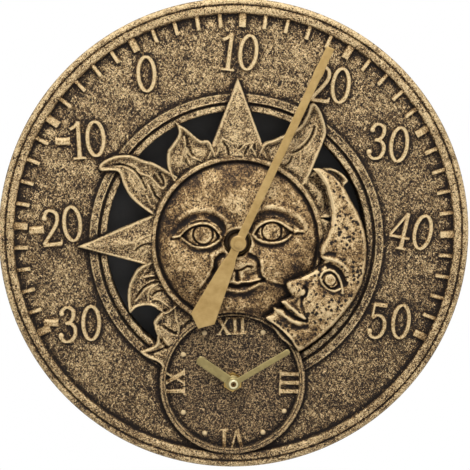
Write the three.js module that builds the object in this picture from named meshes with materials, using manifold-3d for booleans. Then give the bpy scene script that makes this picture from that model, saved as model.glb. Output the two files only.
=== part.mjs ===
// Outdoor wall clock with thermometer: a round antique-bronze casting with a sun face and its rays,
// a crescent moon, a small quartz clock and a bimetal thermometer. Millimetres, +Z up.
// It hangs on a wall in the plane y = 0 and faces -Y. The origin is the middle of its back.
// Each piece is drawn in the dial's own frame, with x to the right, y up and z out of the wall,
// and the finished clock is turned upright at the end.
import * as THREE from "three";
import { mergeVertices } from "three/addons/utils/BufferGeometryUtils.js";
import { ConvexGeometry } from "three/addons/geometries/ConvexGeometry.js";
import Module from "manifold-3d";

const wasm = await Module();
wasm.setup();

// Clearance between pieces that touch, clearance of a turning shaft, and overrun of a cut
const gap = 0.3;
const runningGap = 0.3;
const overrun = 1;

// Sides of round forms, from the largest to the smallest, and steps along curves
const sides = { rim: 64, window: 48, ring: 36, tube: 14, screw: 8 };
const steps = { outline: 2, corner: 4, dome: 8, coilTurn: 16 };

// Rim of the casting, measured from the wall, with its turned groove
const rim = {
  radius: 150,
  front: 24,
  width: 9.6,
  shoulder: 1.8,
  grooveInset: 3.8,
  grooveWidth: 1.2,
  grooveDepth: 1.2,
  wall: 3.6,
  ledge: 2.6,
};

// Dial field between the rim and the window, and the ribs behind it
const field = { front: 21, thickness: 4 };
const rib = { count: 10, thickness: 2.4, depth: 7 };

// Flat cover that closes the back
const cover = {
  thickness: 3,
  screwCount: 6,
  screwInset: 12,
  vents: 8,
  ventWidth: 2.4,
  ventLength: 13,
  ventReach: 26.5,
};

// Round window with its two beads, centred on the sun
const sunCentre = { x: 1, y: -4.1 };
const opening = {
  radius: 83,
  innerBead: 4,
  groove: 2,
  outerBead: 5,
  beadRise: 2.3,
  innerBeadRise: 2,
  grooveRise: 0.4,
  round: 0.6,
  skirt: 3,
};

// Temperature scale on the field, in degrees Celsius and degrees of arc
const scale = {
  lowest: -30,
  highest: 50,
  middle: 10,
  middleArc: 1.45,
  arcPerDegree: 2.9,
  step: 2,
  longStep: 10,
  length: 8.5,
  wideMark: 4.4,
  narrowMark: 2.3,
  rise: 1.3,
};

// Small clock dial with its raised ring
const subDial = { x: -1.9, y: -94.5, radius: 46, ring: 3.2, front: 25, floor: 20.8, thickness: 3, wall: 3 };

// Sun casting: the disc with its ring, the rays and the relief face
const sun = {
  reach: 104,
  radius: 55.2,
  ringWidth: 4,
  ringFront: 27,
  plateFront: 24,
  back: 19,
  rayFront: 25.6,
  ridgeFront: 27.6,
  ridgeEdge: 24.4,
  domeRise: 5.4,
  hubHole: 8.35,
  postRadius: 5,
  postPlace: 41,
};

// Crescent moon: its outline is cut from a shallow dome
const moon = { domeRadius: 66, domeRise: 6.4, edgeFront: 27, pegRadius: 1.8, pegLength: 3.6 };

// Bimetal thermometer behind the face
const thermometer = {
  canRadius: 29.5,
  canWall: 1.2,
  canBack: 8.8,
  canRecess: 3,
  bridgeWidth: 9,
  bridgeThickness: 1.6,
  arborRadius: 1.5,
  colletRadius: 3.2,
  bushRadius: 6,
  bushFront: 33.6,
  bushStep: 1.2,
  stripWidth: 7.6,
  stripThickness: 0.5,
  stripTurns: 4,
  stripOuter: 24,
};

// Thermometer hand, from its pivot
const pointer = {
  back: 34.3,
  thickness: 0.9,
  hubRadius: 5.1,
  hubThickness: 1.5,
  length: 136,
  tailLength: 59.7,
  width: 4.8,
  rivetRadius: 2.6,
  rivetThickness: 0.7,
};

// Clock hands, from their pivots
const hourHand = { back: 26.5, thickness: 0.8, hubRadius: 4.8, length: 27.5, width: 5.8 };
const minuteHand = { back: 29.3, thickness: 0.8, hubRadius: 3.9, length: 41.5, width: 3.6 };

// What the hands show
const shown = { degreesCelsius: 18.2, hours: 10, minutes: 10 };

// Quartz movement behind the small dial, and its battery
const movement = {
  room: 3.4,
  corner: 2.5,
  back: 0.8,
  front: 16.6,
  wall: 1.2,
  frontPlate: 1.2,
  washerThickness: 0.6,
  washerRadius: 9,
};
const battery = { radius: 7.25, endRoom: 0.45, capRadius: 2.7, capLength: 1.2, place: -19.5, back: 1.1 };
const contact = { thickness: 0.5, width: 9 };

// Brass bush through the small dial, its nut, and the tubes that turn in it
const bush = { radius: 4, flangeRadius: 6, flangeThickness: 0.7, proud: 4.2 };
const bushNut = { radius: 6.4, thickness: 2.2, sides: 6 };
const handTube = { hourOuter: 2.7, hourInner: 2, minuteOuter: 1.7, minuteInner: 0.8, proud: 0.3 };
const minuteNut = { radius: 2.9, thickness: 2.8 };

// Motion work: wheel sizes in teeth, and places round the hand arbor
const motionWork = {
  cannonTeeth: 12,
  motionTeeth: 36,
  pinionTeeth: 10,
  hourTeeth: 40,
  knobTeeth: 18,
  discThickness: 1.2,
  pinionThickness: 1.5,
  cannonBack: 10.7,
  wheelSpacing: 0.75,
  motionBore: 1.1,
  postRadius: 2,
  motionArc: 0,
  knobArc: -60,
};
const knob = { thickness: 3, stemRadius: 1.5, back: 0.9, notches: 12, notchRadius: 0.8 };

// Hanging plate with its keyhole, and the pocket for the nail's head
const hanger = {
  width: 44,
  height: 24,
  thickness: 1.2,
  back: 0.3,
  headHole: 4.5,
  slotWidth: 4.6,
  slotLength: 9,
  pocketWidth: 20,
  pocketDepth: 6,
  screwPlace: 15.6,
  corner: 1.4,
  roof: 1.4,
};

// Screws: countersunk for the cover and for the plate
const screw = { headRadius: 3, headLength: 1.5, shankRadius: 1.4, length: 10, back: 0.2 };
const plateScrew = { headRadius: 2.3, headLength: 0.8, shankRadius: 1.1, length: 6.4, back: 0.35 };
const bossRadius = 4.6;
const sunScrewArcs = [-120, 0, 120];

// Ray outlines as shares of the sun's reach from its centre, read clockwise or anticlockwise
const upperLeftFlameShares = [
  [-0.42, 0.12], [-0.535, 0.18], [-0.64, 0.265], [-0.69, 0.345], [-0.72, 0.425], [-0.765, 0.438],
  [-0.825, 0.438], [-0.84, 0.462], [-0.825, 0.487], [-0.77, 0.518], [-0.714, 0.533], [-0.64, 0.53],
  [-0.566, 0.5], [-0.5, 0.48], [-0.36, 0.4],
];
const topLeftFlameShares = [
  [-0.38, 0.35], [-0.425, 0.46], [-0.424, 0.55], [-0.406, 0.58], [-0.36, 0.65], [-0.363, 0.703],
  [-0.378, 0.735], [-0.345, 0.712], [-0.313, 0.694], [-0.227, 0.623], [-0.165, 0.61], [-0.1, 0.45],
];
const topRightFlameShares = [
  [0.1, 0.45], [0.155, 0.592], [0.236, 0.629], [0.371, 0.697], [0.42, 0.764], [0.457, 0.845],
  [0.505, 0.805], [0.544, 0.684], [0.525, 0.604], [0.488, 0.512], [0.43, 0.38], [0.36, 0.3],
];
const upperRightFlameShares = [
  [0.36, 0.32], [0.45, 0.41], [0.544, 0.45], [0.624, 0.425], [0.673, 0.364], [0.7, 0.265],
  [0.66, 0.16], [0.45, 0.14],
];
const lowerLeftFlameShares = [
  [-0.45, -0.08], [-0.591, -0.148], [-0.64, -0.21], [-0.667, -0.28], [-0.671, -0.364], [-0.658, -0.432],
  [-0.615, -0.4], [-0.554, -0.388], [-0.504, -0.401], [-0.43, -0.44], [-0.36, -0.38],
];
const bottomLeftFlameShares = [
  [-0.36, -0.33], [-0.498, -0.469], [-0.51, -0.518], [-0.492, -0.58], [-0.498, -0.625], [-0.535, -0.65],
  [-0.595, -0.672], [-0.554, -0.709], [-0.486, -0.74], [-0.4, -0.8], [-0.25, -0.6], [-0.25, -0.4],
];
const flameShares = [
  upperLeftFlameShares, topLeftFlameShares, topRightFlameShares, upperRightFlameShares,
  lowerLeftFlameShares, bottomLeftFlameShares,
];
// Straight rays: the tip and the two corners of the base
const topRayShares = [[0.004, 1], [0.21, 0.45], [-0.21, 0.45]];
const leftRayShares = [[-0.975, -0.025], [-0.44, 0.2], [-0.44, -0.17]];
const rightRayShares = [[0.76, 0.02], [0.45, 0.18], [0.45, -0.2], [0.74, -0.12]];

// Crescent outline as shares of the sun's reach: the round outside, then the profile
const crescentOuterShares = [
  [0.457, 0.45], [0.52, 0.449], [0.587, 0.419], [0.642, 0.355], [0.687, 0.27], [0.735, 0.185], [0.773, 0.09],
  [0.793, -0.02], [0.791, -0.135], [0.768, -0.25], [0.72, -0.35], [0.655, -0.44], [0.58, -0.525],
  [0.48, -0.612], [0.38, -0.68],
];
const crescentInnerShares = [
  [0.38, -0.68], [0.27, -0.6], [0.168, -0.46], [0.211, -0.438], [0.223, -0.42], [0.217, -0.402],
  [0.285, -0.405], [0.283, -0.385], [0.26, -0.36], [0.316, -0.34], [0.33, -0.33], [0.31, -0.3],
  [0.297, -0.27], [0.297, -0.247], [0.309, -0.234], [0.38, -0.215], [0.46, -0.18], [0.51, -0.14],
  [0.531, -0.111], [0.505, -0.09], [0.501, -0.05], [0.51, -0.02], [0.544, 0.037], [0.568, 0.099],
  [0.575, 0.18], [0.562, 0.253], [0.538, 0.339], [0.501, 0.401],
];
// Middle of the moon's dome and its two pegs, as shares of the sun's reach
const domeShares = [0.2, -0.1];
const pegShares = [[0.64, 0.02], [0.61, 0.33]];

// Rises and hollows of the face: centre, half sizes and rise, all as shares of the face's radius
const faceShares = [
  [-0.42, 0.09, 0.27, 0.15, -0.055],
  [0.43, 0.14, 0.27, 0.15, -0.055],
  [-0.42, 0.08, 0.17, 0.1, 0.06],
  [0.43, 0.13, 0.17, 0.1, 0.06],
  [-0.44, 0.34, 0.32, 0.09, 0.045],
  [0.42, 0.39, 0.32, 0.09, 0.045],
  [0.03, -0.06, 0.11, 0.24, 0.03],
  [0.08, -0.27, 0.13, 0.12, 0.052],
  [-0.05, -0.3, 0.09, 0.08, 0.04],
  [0.2, -0.28, 0.09, 0.08, 0.04],
  [-0.52, -0.26, 0.26, 0.24, 0.05],
  [0.58, -0.22, 0.26, 0.24, 0.05],
  [0.08, -0.49, 0.24, 0.05, 0.04],
  [0.08, -0.61, 0.18, 0.06, 0.045],
  [0.09, -0.55, 0.22, 0.025, -0.03],
];
const faceRings = 12;
const faceSectors = 44;
// Flat border of the face as a share of its radius, and how steeply the rises begin inside it
const faceBorderShare = 0.02;
const faceEdgeSlope = 4;

// Points along the blade and tail of the thermometer hand: distance and half width, as shares
const pointerBladeShares = [[0.05, 0.54], [0.84, 0.54], [0.875, 0.64], [0.92, 0.54], [1, 0.54]];
const pointerTailShares = [[0.12, 0.58], [0.17, 0.62], [0.23, 0.87], [0.885, 1.72]];

// Modules and setting knob as shares of the movement's size
const moduleShare = 1 / 112;
const hourModuleShare = 3 / 350;
const knobShare = 1 / 8;
// Tooth form as shares of the module and of the pitch
const toothShares = { tipHeight: 0.85, rootDepth: 1.15, tipHalf: 0.1, rootHalf: 0.27 };

// Finishes
const finish = {
  bronze: new THREE.MeshStandardMaterial({ color: 0x8f7650, roughness: 0.62, metalness: 0.55 }),
  paleBronze: new THREE.MeshStandardMaterial({ color: 0xa88c60, roughness: 0.58, metalness: 0.55 }),
  gold: new THREE.MeshStandardMaterial({ color: 0xb79c60, roughness: 0.42, metalness: 0.8 }),
  oliveGold: new THREE.MeshStandardMaterial({ color: 0x988f58, roughness: 0.4, metalness: 0.8 }),
  brass: new THREE.MeshStandardMaterial({ color: 0xb5914c, roughness: 0.35, metalness: 1 }),
  steel: new THREE.MeshStandardMaterial({ color: 0x9a9a98, roughness: 0.35, metalness: 1 }),
  charcoal: new THREE.MeshStandardMaterial({ color: 0x26262a, roughness: 0.6, metalness: 0 }),
  black: new THREE.MeshStandardMaterial({ color: 0x17171a, roughness: 0.5, metalness: 0 }),
  nylon: new THREE.MeshStandardMaterial({ color: 0xe8e4d8, roughness: 0.5, metalness: 0 }),
  rubber: new THREE.MeshStandardMaterial({ color: 0x1c1c1c, roughness: 0.9, metalness: 0 }),
  cellWrap: new THREE.MeshStandardMaterial({ color: 0x3f6b4f, roughness: 0.4, metalness: 0.1 }),
};

// Solids

/** Welded vertices and triangles of a closed geometry, with its faces pointing out. */
function welded(geometry) {
  const bare = geometry.index ? geometry.toNonIndexed() : geometry.clone();
  bare.deleteAttribute("normal");
  bare.deleteAttribute("uv");
  const merged = mergeVertices(bare);
  const positions = merged.getAttribute("position").array;
  const index = merged.index.array;
  const corners = [new THREE.Vector3(), new THREE.Vector3(), new THREE.Vector3()];
  const triangles = [];
  let volume = 0;
  for (let start = 0; start < index.length; start += corners.length) {
    const [a, b, c] = index.slice(start, start + corners.length);
    if (a === b || b === c || c === a) continue;
    triangles.push([a, b, c]);
    corners.forEach((corner, place) => corner.fromArray(positions, index[start + place] * corners.length));
    volume += corners[0].dot(corners[1].cross(corners[2]));
  }
  const outward = volume < 0 ? triangles.map(([a, b, c]) => [a, c, b]) : triangles;
  return { positions: new Float32Array(positions), triangles: new Uint32Array(outward.flat()) };
}

/** Solid for joins and cuts from a closed geometry. */
function solid(geometry) {
  const { positions, triangles } = welded(geometry);
  return new wasm.Manifold(new wasm.Mesh({ numProp: 3, vertProperties: positions, triVerts: triangles }));
}

/** Geometry of a finished solid. */
function geometryOf(body) {
  const mesh = body.getMesh();
  const geometry = new THREE.BufferGeometry();
  geometry.setAttribute("position", new THREE.BufferAttribute(mesh.vertProperties, mesh.numProp));
  geometry.setIndex(new THREE.BufferAttribute(mesh.triVerts, 1));
  geometry.computeVertexNormals();
  return geometry;
}

function joined(bodies) {
  return bodies.reduce((whole, body) => whole.add(body));
}

function without(body, cuts) {
  return cuts.reduce((rest, cut) => rest.subtract(cut), body);
}

/** Straight solid of an outline between two heights. */
function prism(shape, back, front, curveSegments = sides.tube) {
  const geometry = new THREE.ExtrudeGeometry(shape, {
    depth: front - back,
    bevelEnabled: false,
    curveSegments,
  });
  geometry.translate(0, 0, back);
  return solid(geometry);
}

function cylinder(place, radius, back, front, count = sides.tube) {
  const geometry = new THREE.CylinderGeometry(radius, radius, front - back, count);
  geometry.rotateX(Math.PI / 2);
  geometry.translate(place.x, place.y, (front + back) / 2);
  return solid(geometry);
}

/** Round solid turned from a profile of [radius, height] that closes on itself or ends on the axis. */
function turned(place, profile, count = sides.tube) {
  const points = profile.map(([radius, height]) => new THREE.Vector2(radius, height));
  const onAxis = profile[0][0] === 0;
  const closing = onAxis ? points : [...points, points[0].clone()];
  const geometry = new THREE.LatheGeometry(closing, count);
  geometry.rotateX(Math.PI / 2);
  geometry.translate(place.x, place.y, 0);
  return solid(geometry);
}

function ring(place, inner, outer, back, front, count = sides.tube) {
  return turned(place, [[inner, back], [outer, back], [outer, front], [inner, front]], count);
}

function block(place, width, height, back, front) {
  const geometry = new THREE.BoxGeometry(width, height, front - back);
  geometry.translate(place.x, place.y, (front + back) / 2);
  return solid(geometry);
}

function roundedRectangle(place, width, height, radius) {
  const shape = new THREE.Shape();
  const right = place.x + width / 2 - radius;
  const left = place.x - width / 2 + radius;
  const top = place.y + height / 2 - radius;
  const bottom = place.y - height / 2 + radius;
  shape.absarc(right, top, radius, 0, Math.PI / 2);
  shape.absarc(left, top, radius, Math.PI / 2, Math.PI);
  shape.absarc(left, bottom, radius, Math.PI, 1.5 * Math.PI);
  shape.absarc(right, bottom, radius, 1.5 * Math.PI, 2 * Math.PI);
  shape.closePath();
  return shape;
}

/** Plate with rounded corners between two heights. */
function roundedBlock(place, width, height, radius, back, front) {
  return prism(roundedRectangle(place, width, height, radius), back, front, steps.corner);
}

/** Unit vector at an angle in degrees, clockwise from straight up. */
function heading(arc) {
  const angle = THREE.MathUtils.degToRad(arc);
  return new THREE.Vector2(Math.sin(angle), Math.cos(angle));
}

function stepFrom(place, arc, distance) {
  const direction = heading(arc);
  return new THREE.Vector2(place.x + direction.x * distance, place.y + direction.y * distance);
}

/** Solid drawn with its middle on the origin, turned clockwise by an arc and moved to its place. */
function placed(geometry, place, arc) {
  geometry.rotateZ(-THREE.MathUtils.degToRad(arc));
  geometry.translate(place.x, place.y, 0);
  return solid(geometry);
}

/** Bar that points along an arc from a place, between two distances. */
function bar(place, arc, from, to, width, back, front) {
  const geometry = new THREE.BoxGeometry(width, to - from, front - back);
  geometry.translate(0, (from + to) / 2, (front + back) / 2);
  return placed(geometry, place, arc);
}

/** Distance from a place, along an arc, to a circle round the middle of the dial. */
function reachOfCircle(place, arc, radius) {
  const direction = heading(arc);
  const along = place.x * direction.x + place.y * direction.y;
  const square = place.x * place.x + place.y * place.y;
  return Math.sqrt(along * along - square + radius * radius) - along;
}

// Places and heights that several pieces share

const middle = { x: 0, y: 0 };
const sub = { x: subDial.x, y: subDial.y };
const rimInner = rim.radius - rim.width;
const fieldBack = field.front - field.thickness;
const coverRadius = rim.radius - rim.wall - gap;
const cavityRadius = rim.radius - rim.wall - rim.ledge;
const coverSeat = cover.thickness + gap;
const beadFront = field.front + opening.beadRise;
const innerBeadFront = field.front + opening.innerBeadRise;
const outerBeadRadius = opening.radius + opening.innerBead + opening.groove + opening.outerBead;
const subDialBack = subDial.floor - subDial.thickness;
const coverScrewPlaces = Array.from({ length: cover.screwCount }, (_, place) =>
  stepFrom(middle, ((place + 0.5) * 360) / cover.screwCount, rim.radius - cover.screwInset));
const sunScrewPlaces = sunScrewArcs.map((arc) => stepFrom(sunCentre, arc, sun.postPlace));
const windowWallTop = sunCentre.y + opening.radius + opening.skirt;
const hangerPlace = { x: 0, y: (windowWallTop + cavityRadius) / 2 };
const hangerScrewPlaces = [-1, 1].map((side) =>
  new THREE.Vector2(side * hanger.screwPlace, hangerPlace.y));
const movementSize = (subDial.radius - subDial.wall - movement.room) * Math.SQRT2;
const moonBack = sun.rayFront + gap;
const canFront = sun.back + thermometer.canRecess - gap;
const subClearance = cylinder(sub, subDial.radius + gap, -overrun, pointer.back + overrun, sides.ring);

/** Point of a share table, on the sun's scale. */
function scaled([x, y]) {
  return new THREE.Vector2(sunCentre.x + x * sun.reach, sunCentre.y + y * sun.reach);
}

// The casting with rim, field, window ring and small dial

function rimAndField() {
  const groove = rim.radius - rim.grooveInset;
  const profile = [
    [0, fieldBack],
    [cavityRadius, fieldBack],
    [cavityRadius, coverSeat],
    [coverRadius + gap, coverSeat],
    [coverRadius + gap, 0],
    [rim.radius, 0],
    [rim.radius, rim.front - rim.shoulder],
    [rim.radius - rim.shoulder, rim.front],
    [groove, rim.front],
    [groove - rim.grooveWidth / 2, rim.front - rim.grooveDepth],
    [groove - rim.grooveWidth, rim.front],
    [rimInner, rim.front],
    [rimInner, field.front],
    [0, field.front],
  ];
  return turned(middle, profile, sides.rim);
}

/** Bead with rounded shoulders between two radii, as profile points from the inside out. */
function beadPoints(inner, outer, front, round) {
  return [[inner, front - round], [inner + round, front], [outer - round, front], [outer, front - round]];
}

function windowRing() {
  const innerEdge = opening.radius + opening.innerBead;
  const outerEdge = innerEdge + opening.groove;
  const profile = [
    [outerBeadRadius, fieldBack],
    ...beadPoints(outerEdge, outerBeadRadius, beadFront, opening.round).reverse(),
    [outerEdge, field.front + opening.grooveRise],
    [innerEdge, field.front + opening.grooveRise],
    ...beadPoints(opening.radius, innerEdge, innerBeadFront, opening.round).reverse(),
    [opening.radius, fieldBack],
  ];
  return turned(sunCentre, profile, sides.window).subtract(subClearance);
}

/** Walls behind the window and the small dial, which part the movement from the window. */
function cavityWalls() {
  const back = coverSeat;
  const front = fieldBack + overrun;
  const pocket = subDial.radius - subDial.wall;
  const windowTube = cylinder(sunCentre, opening.radius + opening.skirt, back, front, sides.window);
  const subTube = cylinder(sub, subDial.radius, back, front, sides.ring);
  const windowHole = cylinder(sunCentre, opening.radius, back - overrun, front + overrun, sides.window);
  const subHole = cylinder(sub, pocket, back - overrun, front + overrun, sides.ring);
  return windowTube.add(subTube).subtract(windowHole.subtract(subTube)).subtract(subHole);
}

function scaleMarks() {
  const marks = [];
  for (let degree = scale.lowest; degree <= scale.highest; degree += scale.step) {
    const arc = scale.middleArc + (degree - scale.middle) * scale.arcPerDegree;
    const end = reachOfCircle(sunCentre, arc, rimInner);
    const width = degree % scale.longStep === 0 ? scale.wideMark : scale.narrowMark;
    const front = field.front + scale.rise;
    marks.push(bar(sunCentre, arc, end - scale.length, end + overrun, width, field.front - overrun, front));
  }
  return joined(marks);
}

function cavityRibs() {
  const ribs = [];
  for (let place = 0; place < rib.count - 1; place += 1) {
    const arc = ((place + 1) * 360) / rib.count - 180;
    const from = opening.radius + opening.skirt - overrun;
    const to = reachOfCircle(sunCentre, arc, cavityRadius) + overrun;
    ribs.push(bar(sunCentre, arc, from, to, rib.thickness, fieldBack - rib.depth, fieldBack + overrun));
  }
  return joined(ribs);
}

/** Holes that the countersunk screws of the cover turn into. */
function pilotHoles(places) {
  const radius = screw.shankRadius + gap;
  const front = screw.back + screw.length + gap;
  return places.map((place) => cylinder(place, radius, coverSeat - overrun, front, sides.screw));
}

function dialCasting() {
  const windowHole = cylinder(sunCentre, opening.radius, 0, rim.front + overrun, sides.window);
  const pocketRadius = subDial.radius - subDial.wall;
  const subDialSolid = turned(sub, [
    [0, subDialBack],
    [subDial.radius, subDialBack],
    ...beadPoints(subDial.radius - subDial.ring, subDial.radius, subDial.front, opening.round).reverse(),
    [subDial.radius - subDial.ring, subDial.floor],
    [0, subDial.floor],
  ], sides.ring);
  const pocket = cylinder(sub, pocketRadius, coverSeat - overrun, subDialBack, sides.ring);
  const overField = cylinder(sub, subDial.radius, subDial.floor, rim.front + overrun, sides.ring);
  const bosses = coverScrewPlaces.map((place) =>
    cylinder(place, bossRadius, coverSeat, fieldBack + overrun, sides.screw));
  const bushHole = cylinder(sub, bush.radius + gap, 0, rim.front + overrun);
  const plate = rimAndField().add(windowRing()).subtract(windowHole);
  const walled = joined([plate, cavityWalls(), cavityRibs(), ...bosses, scaleMarks()]);
  const cut = without(walled, [overField, pocket, ...pilotHoles(coverScrewPlaces)]);
  return cut.add(subDialSolid).subtract(bushHole);
}

// The sun casting

function faceHeight(x, y) {
  const radius = sun.radius - sun.ringWidth;
  const share = Math.min(1, Math.hypot(x, y) / radius + faceBorderShare);
  const dome = sun.domeRise * Math.sqrt(1 - share * share);
  const rises = faceShares.map(([centreX, centreY, halfWidth, halfHeight, rise]) => {
    const across = (x / radius - centreX) / halfWidth;
    const up = (y / radius - centreY) / halfHeight;
    return rise * radius * Math.exp(-(across * across + up * up));
  });
  const edgeFade = Math.min(1, (1 - share) * faceEdgeSlope);
  return sun.plateFront + dome + edgeFade * rises.reduce((sum, rise) => sum + rise, 0);
}

/** Relief face as a closed solid over a grid of rings and sectors. */
function reliefFace() {
  const radius = sun.radius - sun.ringWidth + gap;
  const back = sun.plateFront - overrun;
  const point = (ringPlace, sector, onFront) => {
    const distance = (radius * ringPlace) / faceRings;
    const angle = (2 * Math.PI * (sector % faceSectors)) / faceSectors;
    const x = distance * Math.cos(angle);
    const y = distance * Math.sin(angle);
    return [sunCentre.x + x, sunCentre.y + y, onFront ? faceHeight(x, y) : back];
  };
  const positions = [];
  const face = (...corners) => corners.forEach((corner) => positions.push(...corner));
  for (let sector = 0; sector < faceSectors; sector += 1) {
    face(point(0, 0, true), point(1, sector, true), point(1, sector + 1, true));
    for (let ringPlace = 1; ringPlace < faceRings; ringPlace += 1) {
      const inner = [point(ringPlace, sector, true), point(ringPlace, sector + 1, true)];
      const outer = [point(ringPlace + 1, sector, true), point(ringPlace + 1, sector + 1, true)];
      face(inner[0], outer[0], outer[1]);
      face(inner[0], outer[1], inner[1]);
    }
    const edge = [point(faceRings, sector, true), point(faceRings, sector + 1, true)];
    const foot = [point(faceRings, sector, false), point(faceRings, sector + 1, false)];
    face(edge[0], foot[0], foot[1]);
    face(edge[0], foot[1], edge[1]);
    face([sunCentre.x, sunCentre.y, back], foot[1], foot[0]);
  }
  const geometry = new THREE.BufferGeometry();
  geometry.setAttribute("position", new THREE.Float32BufferAttribute(positions, 3));
  return solid(geometry);
}

function flame(shares) {
  const shape = new THREE.Shape();
  const points = shares.map(scaled);
  shape.moveTo(points[0].x, points[0].y);
  shape.splineThru(points.slice(1));
  shape.closePath();
  return prism(new THREE.Shape(shape.getPoints(steps.outline)), sun.back, sun.rayFront);
}

/** Straight ray with a ridge from its tip to the middle of its base. */
function ridgedRay(shares) {
  const [tip, baseRight, baseLeft] = shares.map(scaled);
  const base = baseRight.clone().lerp(baseLeft, 0.5);
  const points = [tip, baseRight, baseLeft].flatMap((corner) => [
    new THREE.Vector3(corner.x, corner.y, sun.back),
    new THREE.Vector3(corner.x, corner.y, sun.ridgeEdge),
  ]);
  points.push(new THREE.Vector3(base.x, base.y, sun.ridgeFront));
  return solid(new ConvexGeometry(points));
}

/** Crescent between two heights: its round outside is a curve and its profile has sharp corners. */
function crescent(back, front) {
  const outer = crescentOuterShares.map(scaled);
  const shape = new THREE.Shape();
  shape.moveTo(outer[0].x, outer[0].y);
  shape.splineThru(outer.slice(1));
  crescentInnerShares.slice(1).map(scaled).forEach((point) => shape.lineTo(point.x, point.y));
  shape.closePath();
  return prism(new THREE.Shape(shape.getPoints(steps.outline)), back, front);
}

/** Room for the moon in the sun's face and ring, wider than the crescent by the gap all round. */
function moonRoom() {
  const room = crescent(sun.rayFront, pointer.back);
  const sideways = [-gap, gap];
  return joined(sideways.flatMap((x) => sideways.map((y) => room.translate([x, y, 0]))));
}

function sunCasting() {
  const innerRadius = sun.radius - sun.ringWidth;
  const discRing = turned(sunCentre, [
    [0, sun.back],
    [sun.radius, sun.back],
    ...beadPoints(innerRadius, sun.radius, sun.ringFront, opening.round).reverse(),
    [innerRadius, sun.plateFront],
    [0, sun.plateFront],
  ], sides.ring);
  const rightRay = prism(new THREE.Shape(rightRayShares.map(scaled)), sun.back, sun.rayFront);
  const ridged = [topRayShares, leftRayShares].map(ridgedRay);
  const rays = joined([...flameShares.map(flame), ...ridged, rightRay]);
  const insideRing = cylinder(sunCentre, innerRadius, sun.plateFront, pointer.back, sides.ring);
  const edge = opening.radius - 2 * gap;
  const beadSeat = ring(sunCentre, edge, outerBeadRadius + gap, 0, beadFront + gap, sides.window);
  const fieldSeat = ring(sunCentre, edge, rim.radius, 0, field.front + gap, sides.window);
  const posts = sunScrewPlaces.map((place) =>
    cylinder(place, sun.postRadius, coverSeat, sun.back + overrun, sides.screw));
  const canRecess = cylinder(
    sunCentre, thermometer.canRadius + gap, sun.back - overrun, sun.back + thermometer.canRecess, sides.ring);
  const hubHole = cylinder(sunCentre, sun.hubHole, 0, pointer.back, sides.tube);
  const pegFoot = sun.rayFront - moon.pegLength;
  const pegHoles = pegShares.map(scaled).map((place) =>
    cylinder(place, moon.pegRadius + gap, pegFoot, sun.rayFront + overrun, sides.screw));
  const body = joined([rays.subtract(insideRing), discRing, reliefFace(), ...posts]);
  const seats = [subClearance, beadSeat, fieldSeat, canRecess, moonRoom()];
  return without(body, [...seats, hubHole, ...pilotHoles(sunScrewPlaces), ...pegHoles]);
}

// The moon

function moonCasting() {
  const front = moon.edgeFront + moon.domeRise;
  const profile = Array.from({ length: steps.dome }, (_, step) => {
    const angle = (Math.PI / 2) * (step / steps.dome);
    return [moon.domeRadius * Math.cos(angle), moon.edgeFront + moon.domeRise * Math.sin(angle)];
  });
  const foot = [[0, moonBack - overrun], [moon.domeRadius, moonBack - overrun]];
  const dome = turned(scaled(domeShares), [...foot, ...profile, [0, front]], sides.ring);
  const pegs = pegShares.map(scaled).map((place) =>
    cylinder(place, moon.pegRadius, sun.rayFront - moon.pegLength + gap, moonBack + overrun, sides.screw));
  return joined([crescent(moonBack, pointer.back).intersect(dome).subtract(subClearance), ...pegs]);
}

// The cover and what hangs the clock

function countersink(place, spec, back, front) {
  const mouth = spec.headRadius + gap;
  const hole = spec.shankRadius + gap;
  const neck = spec.back + spec.headLength + gap;
  return turned(place, [
    [0, back],
    [mouth, back],
    [mouth, spec.back + gap],
    [hole, neck],
    [hole, front],
    [0, front],
  ], sides.screw);
}

function countersunkScrew(place, spec) {
  const neck = spec.back + spec.headLength;
  return turned(place, [
    [0, spec.back],
    [spec.headRadius, spec.back],
    [spec.shankRadius, neck],
    [spec.shankRadius, spec.back + spec.length],
    [0, spec.back + spec.length],
  ], sides.screw);
}

function backCover() {
  const recessDepth = hanger.back + hanger.thickness + gap;
  const towerFront = recessDepth + hanger.pocketDepth + hanger.roof;
  const plate = cylinder(middle, coverRadius, 0, cover.thickness, sides.rim);
  const tower = block(hangerPlace, hanger.width + 2 * hanger.roof, hanger.height, 0, towerFront);
  const recess = block(hangerPlace, hanger.width + 2 * gap, hanger.height + 2 * gap, -overrun, recessDepth);
  const pocket = block(
    hangerPlace, hanger.pocketWidth, hanger.height - 2 * hanger.roof, 0, recessDepth + hanger.pocketDepth);
  const plateHoles = hangerScrewPlaces.map((place) => cylinder(
    place, plateScrew.shankRadius + gap, 0, plateScrew.back + plateScrew.length + gap, sides.screw));
  const front = cover.thickness + overrun;
  const windowSize = movementSize + 2 * gap;
  const movementHole = roundedBlock(sub, windowSize, windowSize, movement.corner + gap, -overrun, front);
  const screwHoles = [...coverScrewPlaces, ...sunScrewPlaces].map((place) =>
    countersink(place, screw, -overrun, front));
  const vents = Array.from({ length: cover.vents }, (_, place) => {
    const arc = ((place + 0.5) * 360) / cover.vents;
    const from = cover.ventReach - cover.ventLength;
    return bar(sunCentre, arc, from, cover.ventReach, cover.ventWidth, -overrun, front);
  });
  return without(plate.add(tower), [recess, pocket, ...plateHoles, movementHole, ...screwHoles, ...vents]);
}

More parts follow.
